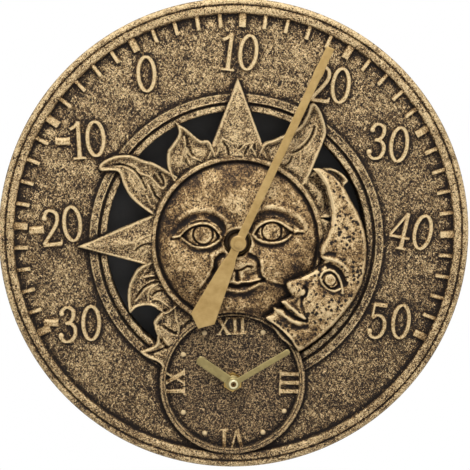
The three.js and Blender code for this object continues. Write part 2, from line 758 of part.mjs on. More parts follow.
function hangerPlate() {
  const plateFront = hanger.back + hanger.thickness;
  const plate = roundedBlock(
    hangerPlace, hanger.width, hanger.height, hanger.corner, hanger.back, plateFront);
  const headPlace = { x: hangerPlace.x, y: hangerPlace.y - hanger.slotLength / 2 };
  const slotEnd = { x: hangerPlace.x, y: headPlace.y + hanger.slotLength };
  const back = hanger.back - overrun;
  const front = plateFront + overrun;
  const head = cylinder(headPlace, hanger.headHole, back, front);
  const slotTop = cylinder(slotEnd, hanger.slotWidth / 2, back, front);
  const slot = bar(headPlace, 0, 0, hanger.slotLength, hanger.slotWidth, back, front);
  const holes = hangerScrewPlaces.map((place) => countersink(place, plateScrew, back, front));
  return without(plate, [head, slotTop, slot, ...holes]);
}

// The thermometer

const canBack = thermometer.canBack;
const pointerArc = scale.middleArc + (shown.degreesCelsius - scale.middle) * scale.arcPerDegree;
const bridgeFront = canBack - gap;
const rivetBack = pointer.back + pointer.hubThickness + gap;

function thermometerCan() {
  const inner = thermometer.canRadius - thermometer.canWall;
  const hole = thermometer.arborRadius + runningGap;
  return turned(sunCentre, [
    [hole, canFront],
    [thermometer.canRadius, canFront],
    [thermometer.canRadius, canBack],
    [inner, canBack],
    [inner, canFront - thermometer.canWall],
    [hole, canFront - thermometer.canWall],
  ], sides.ring);
}

function thermometerBridge() {
  const back = bridgeFront - thermometer.bridgeThickness;
  const strap = block(sunCentre, 2 * thermometer.canRadius, thermometer.bridgeWidth, back, bridgeFront);
  return strap.subtract(cylinder(sunCentre, thermometer.arborRadius + runningGap, 0, canFront));
}

function thermometerBush() {
  const back = canFront + gap;
  const hole = thermometer.arborRadius + runningGap;
  const step = thermometer.bushStep;
  return turned(sunCentre, [
    [hole, back],
    [sun.hubHole - gap, back],
    [sun.hubHole - gap, back + step],
    [thermometer.bushRadius, back + step],
    [thermometer.bushRadius, thermometer.bushFront - step],
    [thermometer.bushRadius - step, thermometer.bushFront],
    [hole, thermometer.bushFront],
  ], sides.tube);
}

/** Flat spiral strip from the collet to the can's wall. */
function bimetalCoil() {
  const inner = thermometer.colletRadius + gap;
  const lastStep = thermometer.stripTurns * steps.coilTurn;
  const centreBack = canBack + (canFront - thermometer.canWall - canBack - thermometer.stripWidth) / 2;
  const edgeAt = (step, side) => {
    const share = step / lastStep;
    const spread = thermometer.stripOuter - inner - thermometer.stripThickness;
    const radius = inner + spread * share + side * thermometer.stripThickness;
    const angle = (2 * Math.PI * step) / steps.coilTurn;
    return new THREE.Vector2(sunCentre.x + radius * Math.cos(angle), sunCentre.y + radius * Math.sin(angle));
  };
  const outline = [];
  for (let step = 0; step <= lastStep; step += 1) outline.push(edgeAt(step, 0));
  for (let step = lastStep; step >= 0; step -= 1) outline.push(edgeAt(step, 1));
  return prism(new THREE.Shape(outline), centreBack, centreBack + thermometer.stripWidth);
}

function thermometerArbor() {
  const radius = thermometer.arborRadius;
  const collet = thermometer.colletRadius;
  const colletBack = canBack + gap;
  const colletFront = canFront - thermometer.canWall - gap;
  return turned(sunCentre, [
    [0, bridgeFront - thermometer.bridgeThickness],
    [radius, bridgeFront - thermometer.bridgeThickness],
    [radius, colletBack],
    [collet, colletBack],
    [collet, colletFront],
    [radius, colletFront],
    [radius, rivetBack],
    [pointer.rivetRadius, rivetBack],
    [pointer.rivetRadius, rivetBack + pointer.rivetThickness],
    [0, rivetBack + pointer.rivetThickness],
  ], sides.tube);
}

function thermometerHand() {
  const edge = (shares, length, side) => shares.map(([distance, half]) =>
    new THREE.Vector2(side * half * pointer.width, distance * length));
  const blade = [
    ...edge(pointerBladeShares, pointer.length, 1),
    ...edge(pointerBladeShares, pointer.length, -1).reverse(),
  ];
  const tail = [
    ...edge(pointerTailShares, -pointer.tailLength, -1),
    new THREE.Vector2(0, -pointer.tailLength),
    ...edge(pointerTailShares, -pointer.tailLength, 1).reverse(),
  ];
  const outline = new THREE.Shape([...blade, ...tail]);
  const flat = new THREE.ExtrudeGeometry(outline, { depth: pointer.thickness, bevelEnabled: false });
  flat.translate(0, 0, pointer.back);
  const hub = cylinder(sunCentre, pointer.hubRadius, pointer.back, pointer.back + pointer.hubThickness);
  const bore = cylinder(sunCentre, thermometer.arborRadius + gap, 0, 2 * pointer.back);
  return placed(flat, sunCentre, pointerArc).add(hub).subtract(bore);
}

// The movement: wheels

/** Wheel or pinion with straight-sided teeth, one of them centred on the first arc. */
function toothed(place, teeth, module, firstArc, back, front) {
  const pitchRadius = (teeth * module) / 2;
  const tip = pitchRadius + module * toothShares.tipHeight;
  const root = pitchRadius - module * toothShares.rootDepth;
  const pitchArc = 360 / teeth;
  const outline = [];
  for (let tooth = 0; tooth < teeth; tooth += 1) {
    const arc = firstArc + tooth * pitchArc;
    outline.push(stepFrom(place, arc - toothShares.rootHalf * pitchArc, root));
    outline.push(stepFrom(place, arc - toothShares.tipHalf * pitchArc, tip));
    outline.push(stepFrom(place, arc + toothShares.tipHalf * pitchArc, tip));
    outline.push(stepFrom(place, arc + toothShares.rootHalf * pitchArc, root));
  }
  return prism(new THREE.Shape(outline), back, front);
}

/** First tooth's arc of a wheel, so that it meshes with its driver along the arc from the driver. */
function meshedArc(driverTeeth, driverFirstArc, teeth, arc) {
  return arc + 180 - ((driverFirstArc - arc) * driverTeeth) / teeth + 180 / teeth;
}

const work = motionWork;
const module = movementSize * moduleShare;
const hourModule = movementSize * hourModuleShare;
const knobRadius = movementSize * knobShare;
const cannonFront = work.cannonBack + work.pinionThickness;
const motionDistance = ((work.cannonTeeth + work.motionTeeth) * module) / 2;
const knobDistance = ((work.knobTeeth + work.motionTeeth) * module) / 2;
const motionPlace = stepFrom(sub, work.motionArc, motionDistance);
const knobPlace = stepFrom(motionPlace, work.knobArc, knobDistance);
const hourWheelBack = cannonFront + work.wheelSpacing;
const hourWheelFront = hourWheelBack + work.discThickness;
const motionDiscBack = work.cannonBack + gap;
const motionDiscFront = motionDiscBack + work.discThickness;
const caseFloorFront = movement.back + movement.wall;
const frontPlateBack = movement.front - movement.frontPlate;
const bushFront = subDial.floor + bush.proud;
const bushBack = frontPlateBack - gap - bush.flangeThickness;
const hourTubeFront = hourHand.back + hourHand.thickness + handTube.proud;
const minuteNutBack = minuteHand.back + minuteHand.thickness + gap;
const cannonFirstArc = work.motionArc;
const motionFirstArc = meshedArc(work.cannonTeeth, cannonFirstArc, work.motionTeeth, work.motionArc);
const pinionFirstArc = work.motionArc + 180;
const hourFirstArc = meshedArc(work.pinionTeeth, pinionFirstArc, work.hourTeeth, pinionFirstArc);
const knobFirstArc = meshedArc(work.motionTeeth, motionFirstArc, work.knobTeeth, work.knobArc);
const knobWellDepth = knob.back + knob.thickness + gap;
const knobWellRadius = knobRadius + runningGap;

function minuteWheel() {
  const pinion = toothed(
    sub, work.cannonTeeth, module, cannonFirstArc, work.cannonBack, cannonFront);
  const tubeFront = minuteNutBack + minuteNut.thickness - handTube.proud;
  const tube = cylinder(sub, handTube.minuteOuter, work.cannonBack, tubeFront);
  const bore = cylinder(sub, handTube.minuteInner, 0, tubeFront + overrun, sides.screw);
  return pinion.add(tube).subtract(bore);
}

function hourWheel() {
  const disc = toothed(
    sub, work.hourTeeth, hourModule, hourFirstArc, hourWheelBack, hourWheelFront);
  const tube = cylinder(sub, handTube.hourOuter, hourWheelBack, hourTubeFront);
  const bore = cylinder(sub, handTube.hourInner, 0, hourTubeFront + overrun);
  return disc.add(tube).subtract(bore);
}

function motionWheel() {
  const disc = toothed(
    motionPlace, work.motionTeeth, module, motionFirstArc, motionDiscBack, motionDiscFront);
  const pinion = toothed(
    motionPlace, work.pinionTeeth, hourModule, pinionFirstArc, motionDiscBack, hourWheelFront);
  const bore = cylinder(motionPlace, work.motionBore, 0, movement.front);
  return disc.add(pinion).subtract(bore);
}

function settingKnob() {
  const front = knob.back + knob.thickness;
  const disc = cylinder(knobPlace, knobRadius, knob.back, front);
  const notches = Array.from({ length: knob.notches }, (_, place) => {
    const notchPlace = stepFrom(knobPlace, (place * 360) / knob.notches, knobRadius);
    return cylinder(notchPlace, knob.notchRadius, 0, front + overrun, steps.corner);
  });
  const pinion = toothed(
    knobPlace, work.knobTeeth, module, knobFirstArc, motionDiscBack, motionDiscFront);
  const stem = cylinder(knobPlace, knob.stemRadius, knob.back, frontPlateBack - gap);
  return joined([without(disc, notches), stem, pinion]);
}

// The movement: case, bush, nuts, hands and cell

const batteryPlace = { x: sub.x, y: sub.y + battery.place };
const batteryCentre = battery.back + battery.radius;
const wellHeight = 2 * battery.radius + 2 * gap;
const wellWidth = movementSize - 2 * (movement.wall + battery.endRoom);
const cellLength = wellWidth - 2 * (contact.thickness + 2 * gap);
const cellBodyLength = cellLength - battery.capLength;

function movementCase() {
  const front = frontPlateBack - gap;
  const shell = roundedBlock(sub, movementSize, movementSize, movement.corner, movement.back, front);
  const innerSize = movementSize - 2 * movement.wall;
  const dividerTop = batteryPlace.y + wellHeight / 2 + movement.wall;
  const innerTop = sub.y + innerSize / 2;
  const gearSpace = roundedBlock(
    { x: sub.x, y: (innerTop + dividerTop) / 2 },
    innerSize, innerTop - dividerTop, movement.corner - movement.wall, caseFloorFront, front + overrun);
  const well = block(batteryPlace, wellWidth, wellHeight, 0, front + overrun);
  const knobCup = cylinder(
    knobPlace, knobWellRadius + movement.wall, movement.back, knobWellDepth + movement.wall).intersect(shell);
  const knobWell = cylinder(knobPlace, knobWellRadius, 0, knobWellDepth);
  const stemHole = cylinder(knobPlace, knob.stemRadius + runningGap, 0, front);
  const postFront = work.cannonBack - gap;
  const minutePost = cylinder(sub, work.postRadius, movement.back, postFront)
    .add(cylinder(sub, handTube.minuteInner - runningGap, movement.back, cannonFront, sides.screw));
  const motionPost = cylinder(motionPlace, work.postRadius, movement.back, motionDiscBack - gap)
    .add(cylinder(motionPlace, work.motionBore - runningGap, movement.back, front - gap, sides.screw));
  const hollow = without(shell, [gearSpace, well]);
  return without(joined([hollow, knobCup, minutePost, motionPost]), [knobWell, stemHole]);
}

function movementFront() {
  const plate = roundedBlock(
    sub, movementSize, movementSize, movement.corner, frontPlateBack, movement.front);
  const wellRecess = block(batteryPlace, wellWidth, wellHeight, 0, batteryCentre + battery.radius + gap);
  return without(plate, [wellRecess, cylinder(sub, bush.radius + gap, 0, rim.front)]);
}

function centreBush() {
  const bore = handTube.hourOuter + runningGap;
  return turned(sub, [
    [bore, bushBack],
    [bush.flangeRadius, bushBack],
    [bush.flangeRadius, bushBack + bush.flangeThickness],
    [bush.radius, bushBack + bush.flangeThickness],
    [bush.radius, bushFront],
    [bore, bushFront],
  ]);
}

function bushWasher() {
  const back = movement.front + gap;
  return ring(sub, bush.radius + gap, movement.washerRadius, back, back + movement.washerThickness);
}

function hexNut() {
  const back = subDial.floor + gap;
  const body = cylinder(sub, bushNut.radius, back, back + bushNut.thickness, bushNut.sides);
  return body.subtract(cylinder(sub, bush.radius + gap, 0, bushFront));
}

/** Straight hand with a round hub and a clipped tip. */
function clockHand(hand, arc, bore) {
  const half = hand.width / 2;
  const chamfer = half / 2;
  const outline = new THREE.Shape([
    new THREE.Vector2(-half, 0),
    new THREE.Vector2(half, 0),
    new THREE.Vector2(half, hand.length - chamfer),
    new THREE.Vector2(half - chamfer, hand.length),
    new THREE.Vector2(chamfer - half, hand.length),
    new THREE.Vector2(-half, hand.length - chamfer),
  ]);
  const flat = new THREE.ExtrudeGeometry(outline, { depth: hand.thickness, bevelEnabled: false });
  flat.translate(0, 0, hand.back);
  const hub = cylinder(sub, hand.hubRadius, hand.back, hand.back + hand.thickness);
  return placed(flat, sub, arc).add(hub).subtract(cylinder(sub, bore, 0, 2 * hand.back));
}

const minuteArc = (shown.minutes * 360) / 60;
const hourArc = (shown.hours * 360 + minuteArc) / 12;

function openNut() {
  const hole = handTube.minuteOuter + gap;
  const front = minuteNutBack + minuteNut.thickness;
  return turned(sub, [
    [hole, minuteNutBack],
    [minuteNut.radius, minuteNutBack],
    [minuteNut.radius, front - gap],
    [minuteNut.radius - gap, front],
    [hole, front],
  ]);
}

/** Round cell that lies along x, with its cap at the right. */
function batteryCell() {
  const body = new THREE.CylinderGeometry(battery.radius, battery.radius, cellBodyLength, sides.tube);
  const capReach = 2 * battery.capLength;
  const cap = new THREE.CylinderGeometry(battery.capRadius, battery.capRadius, capReach, sides.tube);
  const left = batteryPlace.x - cellLength / 2;
  [body, cap].forEach((geometry) => geometry.rotateZ(Math.PI / 2));
  body.translate(left + cellBodyLength / 2, batteryPlace.y, batteryCentre);
  cap.translate(left + cellBodyLength, batteryPlace.y, batteryCentre);
  return solid(body).add(solid(cap));
}

function batteryContact(side) {
  const reach = cellLength / 2 + gap + contact.thickness / 2;
  const place = { x: batteryPlace.x + side * reach, y: batteryPlace.y };
  return block(place, contact.thickness, contact.width, caseFloorFront, frontPlateBack - 2 * gap);
}

// Assembly

const clock = new THREE.Group();

function addPiece(name, body, material) {
  const mesh = new THREE.Mesh(geometryOf(body), material);
  mesh.name = name;
  clock.add(mesh);
}

addPiece("dial_casting", dialCasting(), finish.bronze);
addPiece("sun_casting", sunCasting(), finish.bronze);
addPiece("moon_casting", moonCasting(), finish.paleBronze);
addPiece("back_cover", backCover(), finish.charcoal);
addPiece("hanger_plate", hangerPlate(), finish.steel);
hangerScrewPlaces.forEach((place, index) =>
  addPiece(`hanger_screw_${index + 1}`, countersunkScrew(place, plateScrew), finish.steel));
coverScrewPlaces.forEach((place, index) =>
  addPiece(`cover_screw_${index + 1}`, countersunkScrew(place, screw), finish.steel));
sunScrewPlaces.forEach((place, index) =>
  addPiece(`sun_screw_${index + 1}`, countersunkScrew(place, screw), finish.steel));
addPiece("thermometer_can", thermometerCan(), finish.brass);
addPiece("thermometer_bridge", thermometerBridge(), finish.brass);
addPiece("thermometer_bush", thermometerBush(), finish.bronze);
addPiece("bimetal_coil", bimetalCoil(), finish.steel);
addPiece("thermometer_arbor", thermometerArbor(), finish.brass);
addPiece("thermometer_hand", thermometerHand(), finish.gold);
addPiece("movement_case", movementCase(), finish.black);
addPiece("movement_front", movementFront(), finish.black);
addPiece("centre_bush", centreBush(), finish.brass);
addPiece("bush_washer", bushWasher(), finish.rubber);
addPiece("bush_nut", hexNut(), finish.brass);
addPiece("hour_wheel", hourWheel(), finish.nylon);
addPiece("hour_hand", clockHand(hourHand, hourArc, handTube.hourOuter + gap), finish.oliveGold);
addPiece("minute_wheel", minuteWheel(), finish.brass);
addPiece("minute_hand", clockHand(minuteHand, minuteArc, handTube.minuteOuter + gap), finish.oliveGold);
addPiece("minute_nut", openNut(), finish.gold);
addPiece("motion_wheel", motionWheel(), finish.nylon);
addPiece("setting_knob", settingKnob(), finish.black);
addPiece("battery", batteryCell(), finish.cellWrap);
addPiece("contact_negative", batteryContact(-1), finish.steel);
addPiece("contact_positive", batteryContact(1), finish.steel);

clock.rotation.x = Math.PI / 2;

export default clock;
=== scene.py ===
"""Looks of an outdoor wall clock with a thermometer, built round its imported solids.

Lengths are millimetres in the dial's own frame, with x to the right, y up and h out of the wall,
until a mesh is made. Points measured from the sun's centre are u and v. Arcs are degrees,
clockwise from the top.
"""

import logging
import math
from collections.abc import Callable, Sequence
from dataclasses import dataclass
from enum import Enum
from functools import partial

import bmesh
import bpy
import numpy as np
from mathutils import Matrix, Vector
from mathutils.bvhtree import BVHTree
from mathutils.geometry import delaunay_2d_cdt


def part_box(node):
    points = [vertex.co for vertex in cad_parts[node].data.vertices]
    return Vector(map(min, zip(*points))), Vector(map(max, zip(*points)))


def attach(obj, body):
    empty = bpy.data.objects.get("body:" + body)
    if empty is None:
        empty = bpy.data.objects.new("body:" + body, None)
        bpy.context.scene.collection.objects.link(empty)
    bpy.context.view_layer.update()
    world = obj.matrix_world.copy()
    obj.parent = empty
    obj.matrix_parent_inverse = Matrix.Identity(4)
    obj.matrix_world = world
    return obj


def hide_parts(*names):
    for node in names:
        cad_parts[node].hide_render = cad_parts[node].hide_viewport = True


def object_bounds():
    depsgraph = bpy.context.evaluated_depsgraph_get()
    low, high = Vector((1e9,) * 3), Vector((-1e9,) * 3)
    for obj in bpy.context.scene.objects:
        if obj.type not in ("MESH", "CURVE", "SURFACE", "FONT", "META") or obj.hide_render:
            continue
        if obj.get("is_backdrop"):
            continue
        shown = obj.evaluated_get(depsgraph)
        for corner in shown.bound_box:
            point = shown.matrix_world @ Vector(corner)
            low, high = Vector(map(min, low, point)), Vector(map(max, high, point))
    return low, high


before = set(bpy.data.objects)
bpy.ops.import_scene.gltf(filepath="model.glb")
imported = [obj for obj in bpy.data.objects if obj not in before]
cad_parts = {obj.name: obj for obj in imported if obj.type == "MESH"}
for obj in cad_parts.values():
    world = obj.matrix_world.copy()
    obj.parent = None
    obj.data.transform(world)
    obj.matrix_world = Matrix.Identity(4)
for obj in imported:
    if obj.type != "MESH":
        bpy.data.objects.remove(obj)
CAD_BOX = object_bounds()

log = logging.getLogger("wall_clock")

Array = np.ndarray
Pair = tuple[float, float]
Place = Pair | Array
Path = Sequence[Pair]
Lines = Sequence[tuple[float, float, Path]]
Bulges = Sequence[tuple[Pair, Pair, float]]
Height = Callable[[Array, Array], Array]
Colour = tuple[int, int, int]
Triple = tuple[float, float, float]
Piece = bpy.types.Object
Tree = bpy.types.NodeTree
Socket = bpy.types.NodeSocket
Material = bpy.types.Material

MM = 0.001


class Body(str, Enum):
    """The bodies that pieces ride on."""

    CASE = "case"
    MINUTE = "minute"
    HOUR = "hour"
    THERMOMETER = "thermometer"


# Small mathematics


def smooth(value: Array) -> Array:
    """Eases a share from 0 to 1."""
    share = np.clip(value, 0, 1)
    return share * share * (3 - 2 * share)


def heading(arc: float) -> Array:
    """Unit vector along an arc, clockwise from the top."""
    angle = math.radians(arc)
    return np.array([math.sin(angle), math.cos(angle)])


def directions(count: int) -> Array:
    """Angles of equal steps round a circle, in radians."""
    return np.linspace(0, 2 * math.pi, count, endpoint=False)


def away(x: Array, y: Array, centre: Place) -> Array:
    """Distance of points from a centre."""
    return np.hypot(x - centre[0], y - centre[1])


def swell(x: Array, y: Array, place: Pair, spread: Pair, turn: float = 0) -> Array:
    """Soft round rise of height 1.

    Args:
        x: Points across.
        y: Points up.
        place: Middle of the rise.
        spread: Half sizes at which the rise has fallen to a third.
        turn: Turn of the rise anticlockwise.

    Returns:
        The rise at each point.
    """
    angle = math.radians(turn)
    across, up = x - place[0], y - place[1]
    u = (across * math.cos(angle) + up * math.sin(angle)) / spread[0]
    v = (up * math.cos(angle) - across * math.sin(angle)) / spread[1]
    return np.exp(-(u * u + v * v))


def crest(distance: Array, width: float, place: float = 0) -> Array:
    """Ridge of height 1 at a distance from a line."""
    return np.exp(-(((distance - place) / width) ** 2))


def ripple(x: Array, y: Array, waves: Sequence[float], bends: Pair) -> Array:
    """Uneven waves of height 1, as a hand-made pattern leaves in a casting.

    Args:
        x: Points across.
        y: Points up.
        waves: Lengths of the waves across, of what bends them, up, and of what bends those.
        bends: How far each is bent.

    Returns:
        The height at each point.
    """
    across = np.sin(x / waves[0] + bends[0] * np.sin(y / waves[1]))
    return across * np.sin(y / waves[2] + bends[1] * np.sin(x / waves[3]))


def spline(path: Path, steps: int = 6) -> Array:
    """Smooth curve through points.

    Args:
        path: The points it passes.
        steps: Steps between two points.

    Returns:
        Points along the curve.
    """
    points = np.array(path, float)
    padded = np.vstack([points[:1], points, points[-1:]])
    share = np.linspace(0, 1, steps, endpoint=False)[:, None]
    parts = []
    for a, b, c, d in zip(padded[:-3], padded[1:-2], padded[2:-1], padded[3:]):
        velocity, arrival = (c - a) / 2, (d - b) / 2
        cubic = (2 * b - 2 * c + velocity + arrival) * share**3
        square = (-3 * b + 3 * c - 2 * velocity - arrival) * share**2
        parts.append(cubic + square + velocity * share + b)
    return np.vstack([*parts, points[-1:]])


def resampled(path: Array, pitch: float) -> Array:
    """Closed loop with its points about a pitch apart, its corners kept.

    Args:
        path: Corners of the loop.
        pitch: Longest step between points.

    Returns:
        Points of the loop.
    """
    parts = []
    for start, end in zip(path, np.roll(path, -1, axis=0)):
        count = max(1, math.ceil(np.linalg.norm(end - start) / pitch))
        parts.append(start + (end - start) * np.linspace(0, 1, count, endpoint=False)[:, None])
    return np.vstack(parts)


def polar(centre: Place, radius: Array, angle: Array) -> tuple[Array, Array]:
    """Points at a radius from a centre, their angles in radians anticlockwise."""
    return centre[0] + radius * np.cos(angle), centre[1] + radius * np.sin(angle)


def circle(centre: Place, radius: float, count: int) -> Array:
    """Points of a circle, anticlockwise."""
    return np.column_stack(polar(centre, radius, directions(count)))


def signed_area(loop: Array) -> float:
    """Area inside a loop, positive where it runs anticlockwise."""
    return float(np.sum(np.cross(loop, np.roll(loop, -1, axis=0))) / 2)


def distance_to(x: Array, y: Array, path: Array, closed: bool = False) -> Array:
    """Distance from points to a line of straight steps.

    Args:
        x: Points across.
        y: Points up.
        path: Corners of the line.
        closed: Whether its end joins its start.

    Returns:
        The shortest distance at each point.
    """
    ends = np.roll(path, -1, axis=0) if closed else path[1:]
    nearest = np.full(np.shape(x), np.inf)
    for start, end in zip(path, ends):
        step = end - start
        length = max(float(step @ step), 1e-12)
        share = np.clip(((x - start[0]) * step[0] + (y - start[1]) * step[1]) / length, 0, 1)
        gap = np.hypot(x - start[0] - share * step[0], y - start[1] - share * step[1])
        nearest = np.minimum(nearest, gap)
    return nearest


def inside(x: Array, y: Array, loops: Sequence[Array]) -> Array:
    """Whether points lie in the area between loops.

    Args:
        x: Points across.
        y: Points up.
        loops: Outline, and holes in it.

    Returns:
        True at each point that is inside.
    """
    crossings = np.zeros(np.shape(x), int)
    for loop in loops:
        for start, end in zip(loop, np.roll(loop, -1, axis=0)):
            rise = (end[1] - start[1]) or 1
            spans = (start[1] > y) != (end[1] > y)
            crossings += spans & (x < start[0] + (y - start[1]) * (end[0] - start[0]) / rise)
    return crossings % 2 == 1


def filled(loops: Sequence[Array], inner: Array) -> tuple[Array, Array]:
    """Triangles over the area between loops.

    Args:
        loops: Outline, and holes in it.
        inner: Further points inside.

    Returns:
        The points, loops first, and the triangles, anticlockwise.
    """
    points = np.vstack([*loops, inner.reshape(-1, 2)])
    edges, first = [], 0
    for loop in loops:
        count = len(loop)
        edges += [(first + step, first + (step + 1) % count) for step in range(count)]
        first += count
    made = delaunay_2d_cdt([Vector(point) for point in points], edges, [], 1, 1e-5)
    corners = np.array([tuple(point) for point in made[0]])
    triangles = np.array([tuple(triangle) for triangle in made[2]])
    middle = corners[triangles].mean(axis=1)
    triangles = triangles[inside(middle[:, 0], middle[:, 1], loops)]
    a, b, c = (corners[triangles[:, corner]] for corner in range(3))
    turned = np.cross(b - a, c - a) < 0
    triangles[turned] = triangles[turned][:, ::-1]
    return corners, triangles


# Meshes


def linked(name: str, data: bpy.types.ID) -> Piece:
    """New object of the scene round its data."""
    made = bpy.data.objects.new(name, data)
    bpy.context.scene.collection.objects.link(made)
    return made


def in_world(points: Array) -> Array:
    """Points of the dial's frame in world metres."""
    return np.column_stack([points[:, 0], -points[:, 2], points[:, 1]]) * MM


def level(height: float) -> Height:
    """Height that is the same everywhere."""
    return lambda x, y: np.full(np.shape(x), height)


class Shell:
    """Points and faces of a piece while it is being made."""

    def __init__(self) -> None:
        """Starts with nothing."""
        self.points: list[Array] = []
        self.faces: list[Array] = []
        self.count = 0

    def add(self, points: Array, *faces: Array) -> "Shell":
        """Adds points and the faces between them, which are turned to face outwards.

        Args:
            points: Points of a closed form, as rows of x, y and h.
            faces: Tables of triangles or quads.

        Returns:
            The shell.
        """
        volume = 0.0
        for table in faces:
            first = points[table[:, 0]]
            for corner in range(1, table.shape[1] - 1):
                second, third = points[table[:, corner]], points[table[:, corner + 1]]
                volume += float(np.sum(first * np.cross(second, third)))
        for table in faces:
            self.faces.append((table[:, ::-1] if volume < 0 else table) + self.count)
        self.points.append(points)
        self.count += len(points)
        return self

    def lofted(self, rows: Array, closed: bool) -> "Shell":
        """Adds closed sections joined one to the next.

        Args:
            rows: Sections by points by (x, y, h).
            closed: Whether the last section joins the first; otherwise the ends are capped.

        Returns:
            The shell.
        """
        sections, length = rows.shape[:2]
        here = np.arange(sections * length).reshape(sections, length)
        there = np.roll(here, -1, axis=0)
        if not closed:
            here, there = here[:-1], there[:-1]
        corners = [here, np.roll(here, -1, axis=1), np.roll(there, -1, axis=1), there]
        quads = np.stack(corners, axis=-1).reshape(-1, 4)
        points, caps = rows.reshape(-1, 3), []
        if not closed:
            for end, middle in ((0, len(points)), (sections - 1, len(points) + 1)):
                ring = end * length + np.arange(length)
                fan = np.stack([ring, np.full(length, middle), np.roll(ring, -1)], axis=-1)
                caps.append(fan if end == 0 else fan[:, ::-1])
            points = np.vstack([points, rows[0].mean(axis=0), rows[-1].mean(axis=0)])
        return self.add(points, quads, *caps)

    def turned(self, place: Place, profile: Path, count: int) -> "Shell":
        """Adds a form turned round an axis out of the wall.

        Args:
            place: The axis.
            profile: Closed section, as radius and height.
            count: Sides of the turned form.

        Returns:
            The shell.
        """
        section = np.array(profile, float)
        x, y = polar(place, section[:, 0], directions(count)[:, None])
        return self.lofted(np.stack([x, y, np.broadcast_to(section[:, 1], x.shape)], axis=-1), True)

    def slab(
        self, loops: Sequence[Array], pitch: float, front: Height, back: Height,
        borders: Sequence[float] = (),
    ) -> "Shell":
        """Adds a plate with a modelled front.

        Args:
            loops: Outline, and holes in it.
            pitch: Distance between the points of the front.
            front: Height of the front.
            back: Height of the back.
            borders: Distances from the outline at which lines of points follow it.

        Returns:
            The shell.
        """
        rings = []
        for number, loop in enumerate(loops):
            ring = resampled(loop, pitch)
            rings.append(ring[::-1] if (signed_area(ring) < 0) == (number == 0) else ring)
        outline = np.vstack(rings)
        inner = []
        for border in borders:
            for ring in rings:
                along = np.roll(ring, -1, axis=0) - np.roll(ring, 1, axis=0)
                along /= np.maximum(np.linalg.norm(along, axis=1, keepdims=True), 1e-9)
                line = ring + border * np.column_stack([-along[:, 1], along[:, 0]])
                inner.append(line[self._clear(line, rings) > 0.93 * border])
        low, high = outline.min(axis=0), outline.max(axis=0)
        rows = np.arange(low[1], high[1], pitch * math.sqrt(3) / 2)
        across = np.arange(low[0], high[0] + pitch, pitch)
        shift = np.where(np.arange(len(rows)) % 2, pitch / 2, 0)
        x = (across[None, :] + shift[:, None]).ravel()
        grid = np.column_stack([x, np.repeat(rows, len(across))])
        room = max(borders, default=0) + pitch * 0.55
        inner.append(grid[self._clear(grid, rings) > room])
        corners, triangles = filled(rings, np.vstack(inner))
        _, under = filled(rings, np.zeros((0, 2)))
        total = len(corners)
        starts, ends = triangles.ravel(), np.roll(triangles, -1, axis=1).ravel()
        lone = ~np.isin(starts * total + ends, ends * total + starts)
        a, b = starts[lone], ends[lone]
        walls = np.column_stack([a + total, b + total, b, a])
        top = np.column_stack([corners, front(corners[:, 0], corners[:, 1])])
        foot = np.column_stack([outline, back(outline[:, 0], outline[:, 1])])
        return self.add(np.vstack([top, foot]), triangles, under[:, ::-1] + total, walls)

    @staticmethod
    def _clear(points: Array, rings: Sequence[Array]) -> Array:
        """Distance inside the outline, negative outside it."""
        gap = np.min([distance_to(*points.T, ring, True) for ring in rings], axis=0)
        return np.where(inside(*points.T, rings), gap, -gap)

    def piece(self, name: str, sharp: float = 38) -> Piece:
        """Makes the piece, smooth but for its sharp edges.

        Args:
            name: Name of the piece.
            sharp: Angle past which an edge stays sharp, in degrees.

        Returns:
            The object, in world metres.
        """
        world = in_world(np.vstack(self.points))
        mesh = bpy.data.meshes.new(name)
        sizes = np.concatenate([np.full(len(table), table.shape[1]) for table in self.faces])
        corners = np.concatenate([table.ravel() for table in self.faces])
        starts = np.concatenate([[0], np.cumsum(sizes)[:-1]])
        mesh.vertices.add(len(world))
        mesh.vertices.foreach_set("co", world.astype(np.float32).ravel())
        mesh.loops.add(len(corners))
        mesh.loops.foreach_set("vertex_index", corners.astype(np.int32))
        mesh.polygons.add(len(sizes))
        mesh.polygons.foreach_set("loop_start", starts.astype(np.int32))
        mesh.update(calc_edges=True)
        whole = bmesh.new()
        whole.from_mesh(mesh)
        bmesh.ops.remove_doubles(whole, verts=whole.verts, dist=1e-7)
        bmesh.ops.dissolve_degenerate(whole, edges=whole.edges, dist=1e-7)
        whole.to_mesh(mesh)
        whole.free()
        mesh.polygons.foreach_set("use_smooth", np.ones(len(mesh.polygons), bool))
        mesh.set_sharp_from_angle(angle=math.radians(sharp))
        mesh.validate()
        return linked(name, mesh)


# Finishes


def linear(colour: Colour) -> tuple[float, float, float, float]:
    """Turns a screen colour from 0 to 255 into a linear one."""
    shares = [channel / 255 for channel in colour]
    return (*(c / 12.92 if c <= 0.04045 else ((c + 0.055) / 1.055) ** 2.4 for c in shares), 1.0)


def add_node(
    tree: Tree, kind: str, inputs: dict | None = None, **settings: object
) -> bpy.types.Node:
    """Adds a node to a tree.

    Args:
        tree: The tree.
        kind: Type of the node.
        inputs: Values or sockets for its inputs, by name or number.
        settings: Its other settings.

    Returns:
        The node.
    """
    made = tree.nodes.new(kind)
    for setting, value in settings.items():
        setattr(made, setting, value)
    for key, value in (inputs or {}).items():
        if isinstance(value, Socket):
            tree.links.new(value, made.inputs[key])
        else:
            made.inputs[key].default_value = value
    return made


def seen_directly(tree: Tree) -> Socket:
    """Socket that is above 0 for rays from the camera, a gloss or a glass.

    Args:
        tree: Where its nodes go.

    Returns:
        The socket.
    """
    path = add_node(tree, "ShaderNodeLightPath").outputs
    total = path["Is Camera Ray"]
    for name in ("Is Glossy Ray", "Is Transmission Ray"):
        inputs = {0: total, 1: path[name]}
        total = add_node(tree, "ShaderNodeMath", inputs, operation="MAXIMUM").outputs[0]
    return total


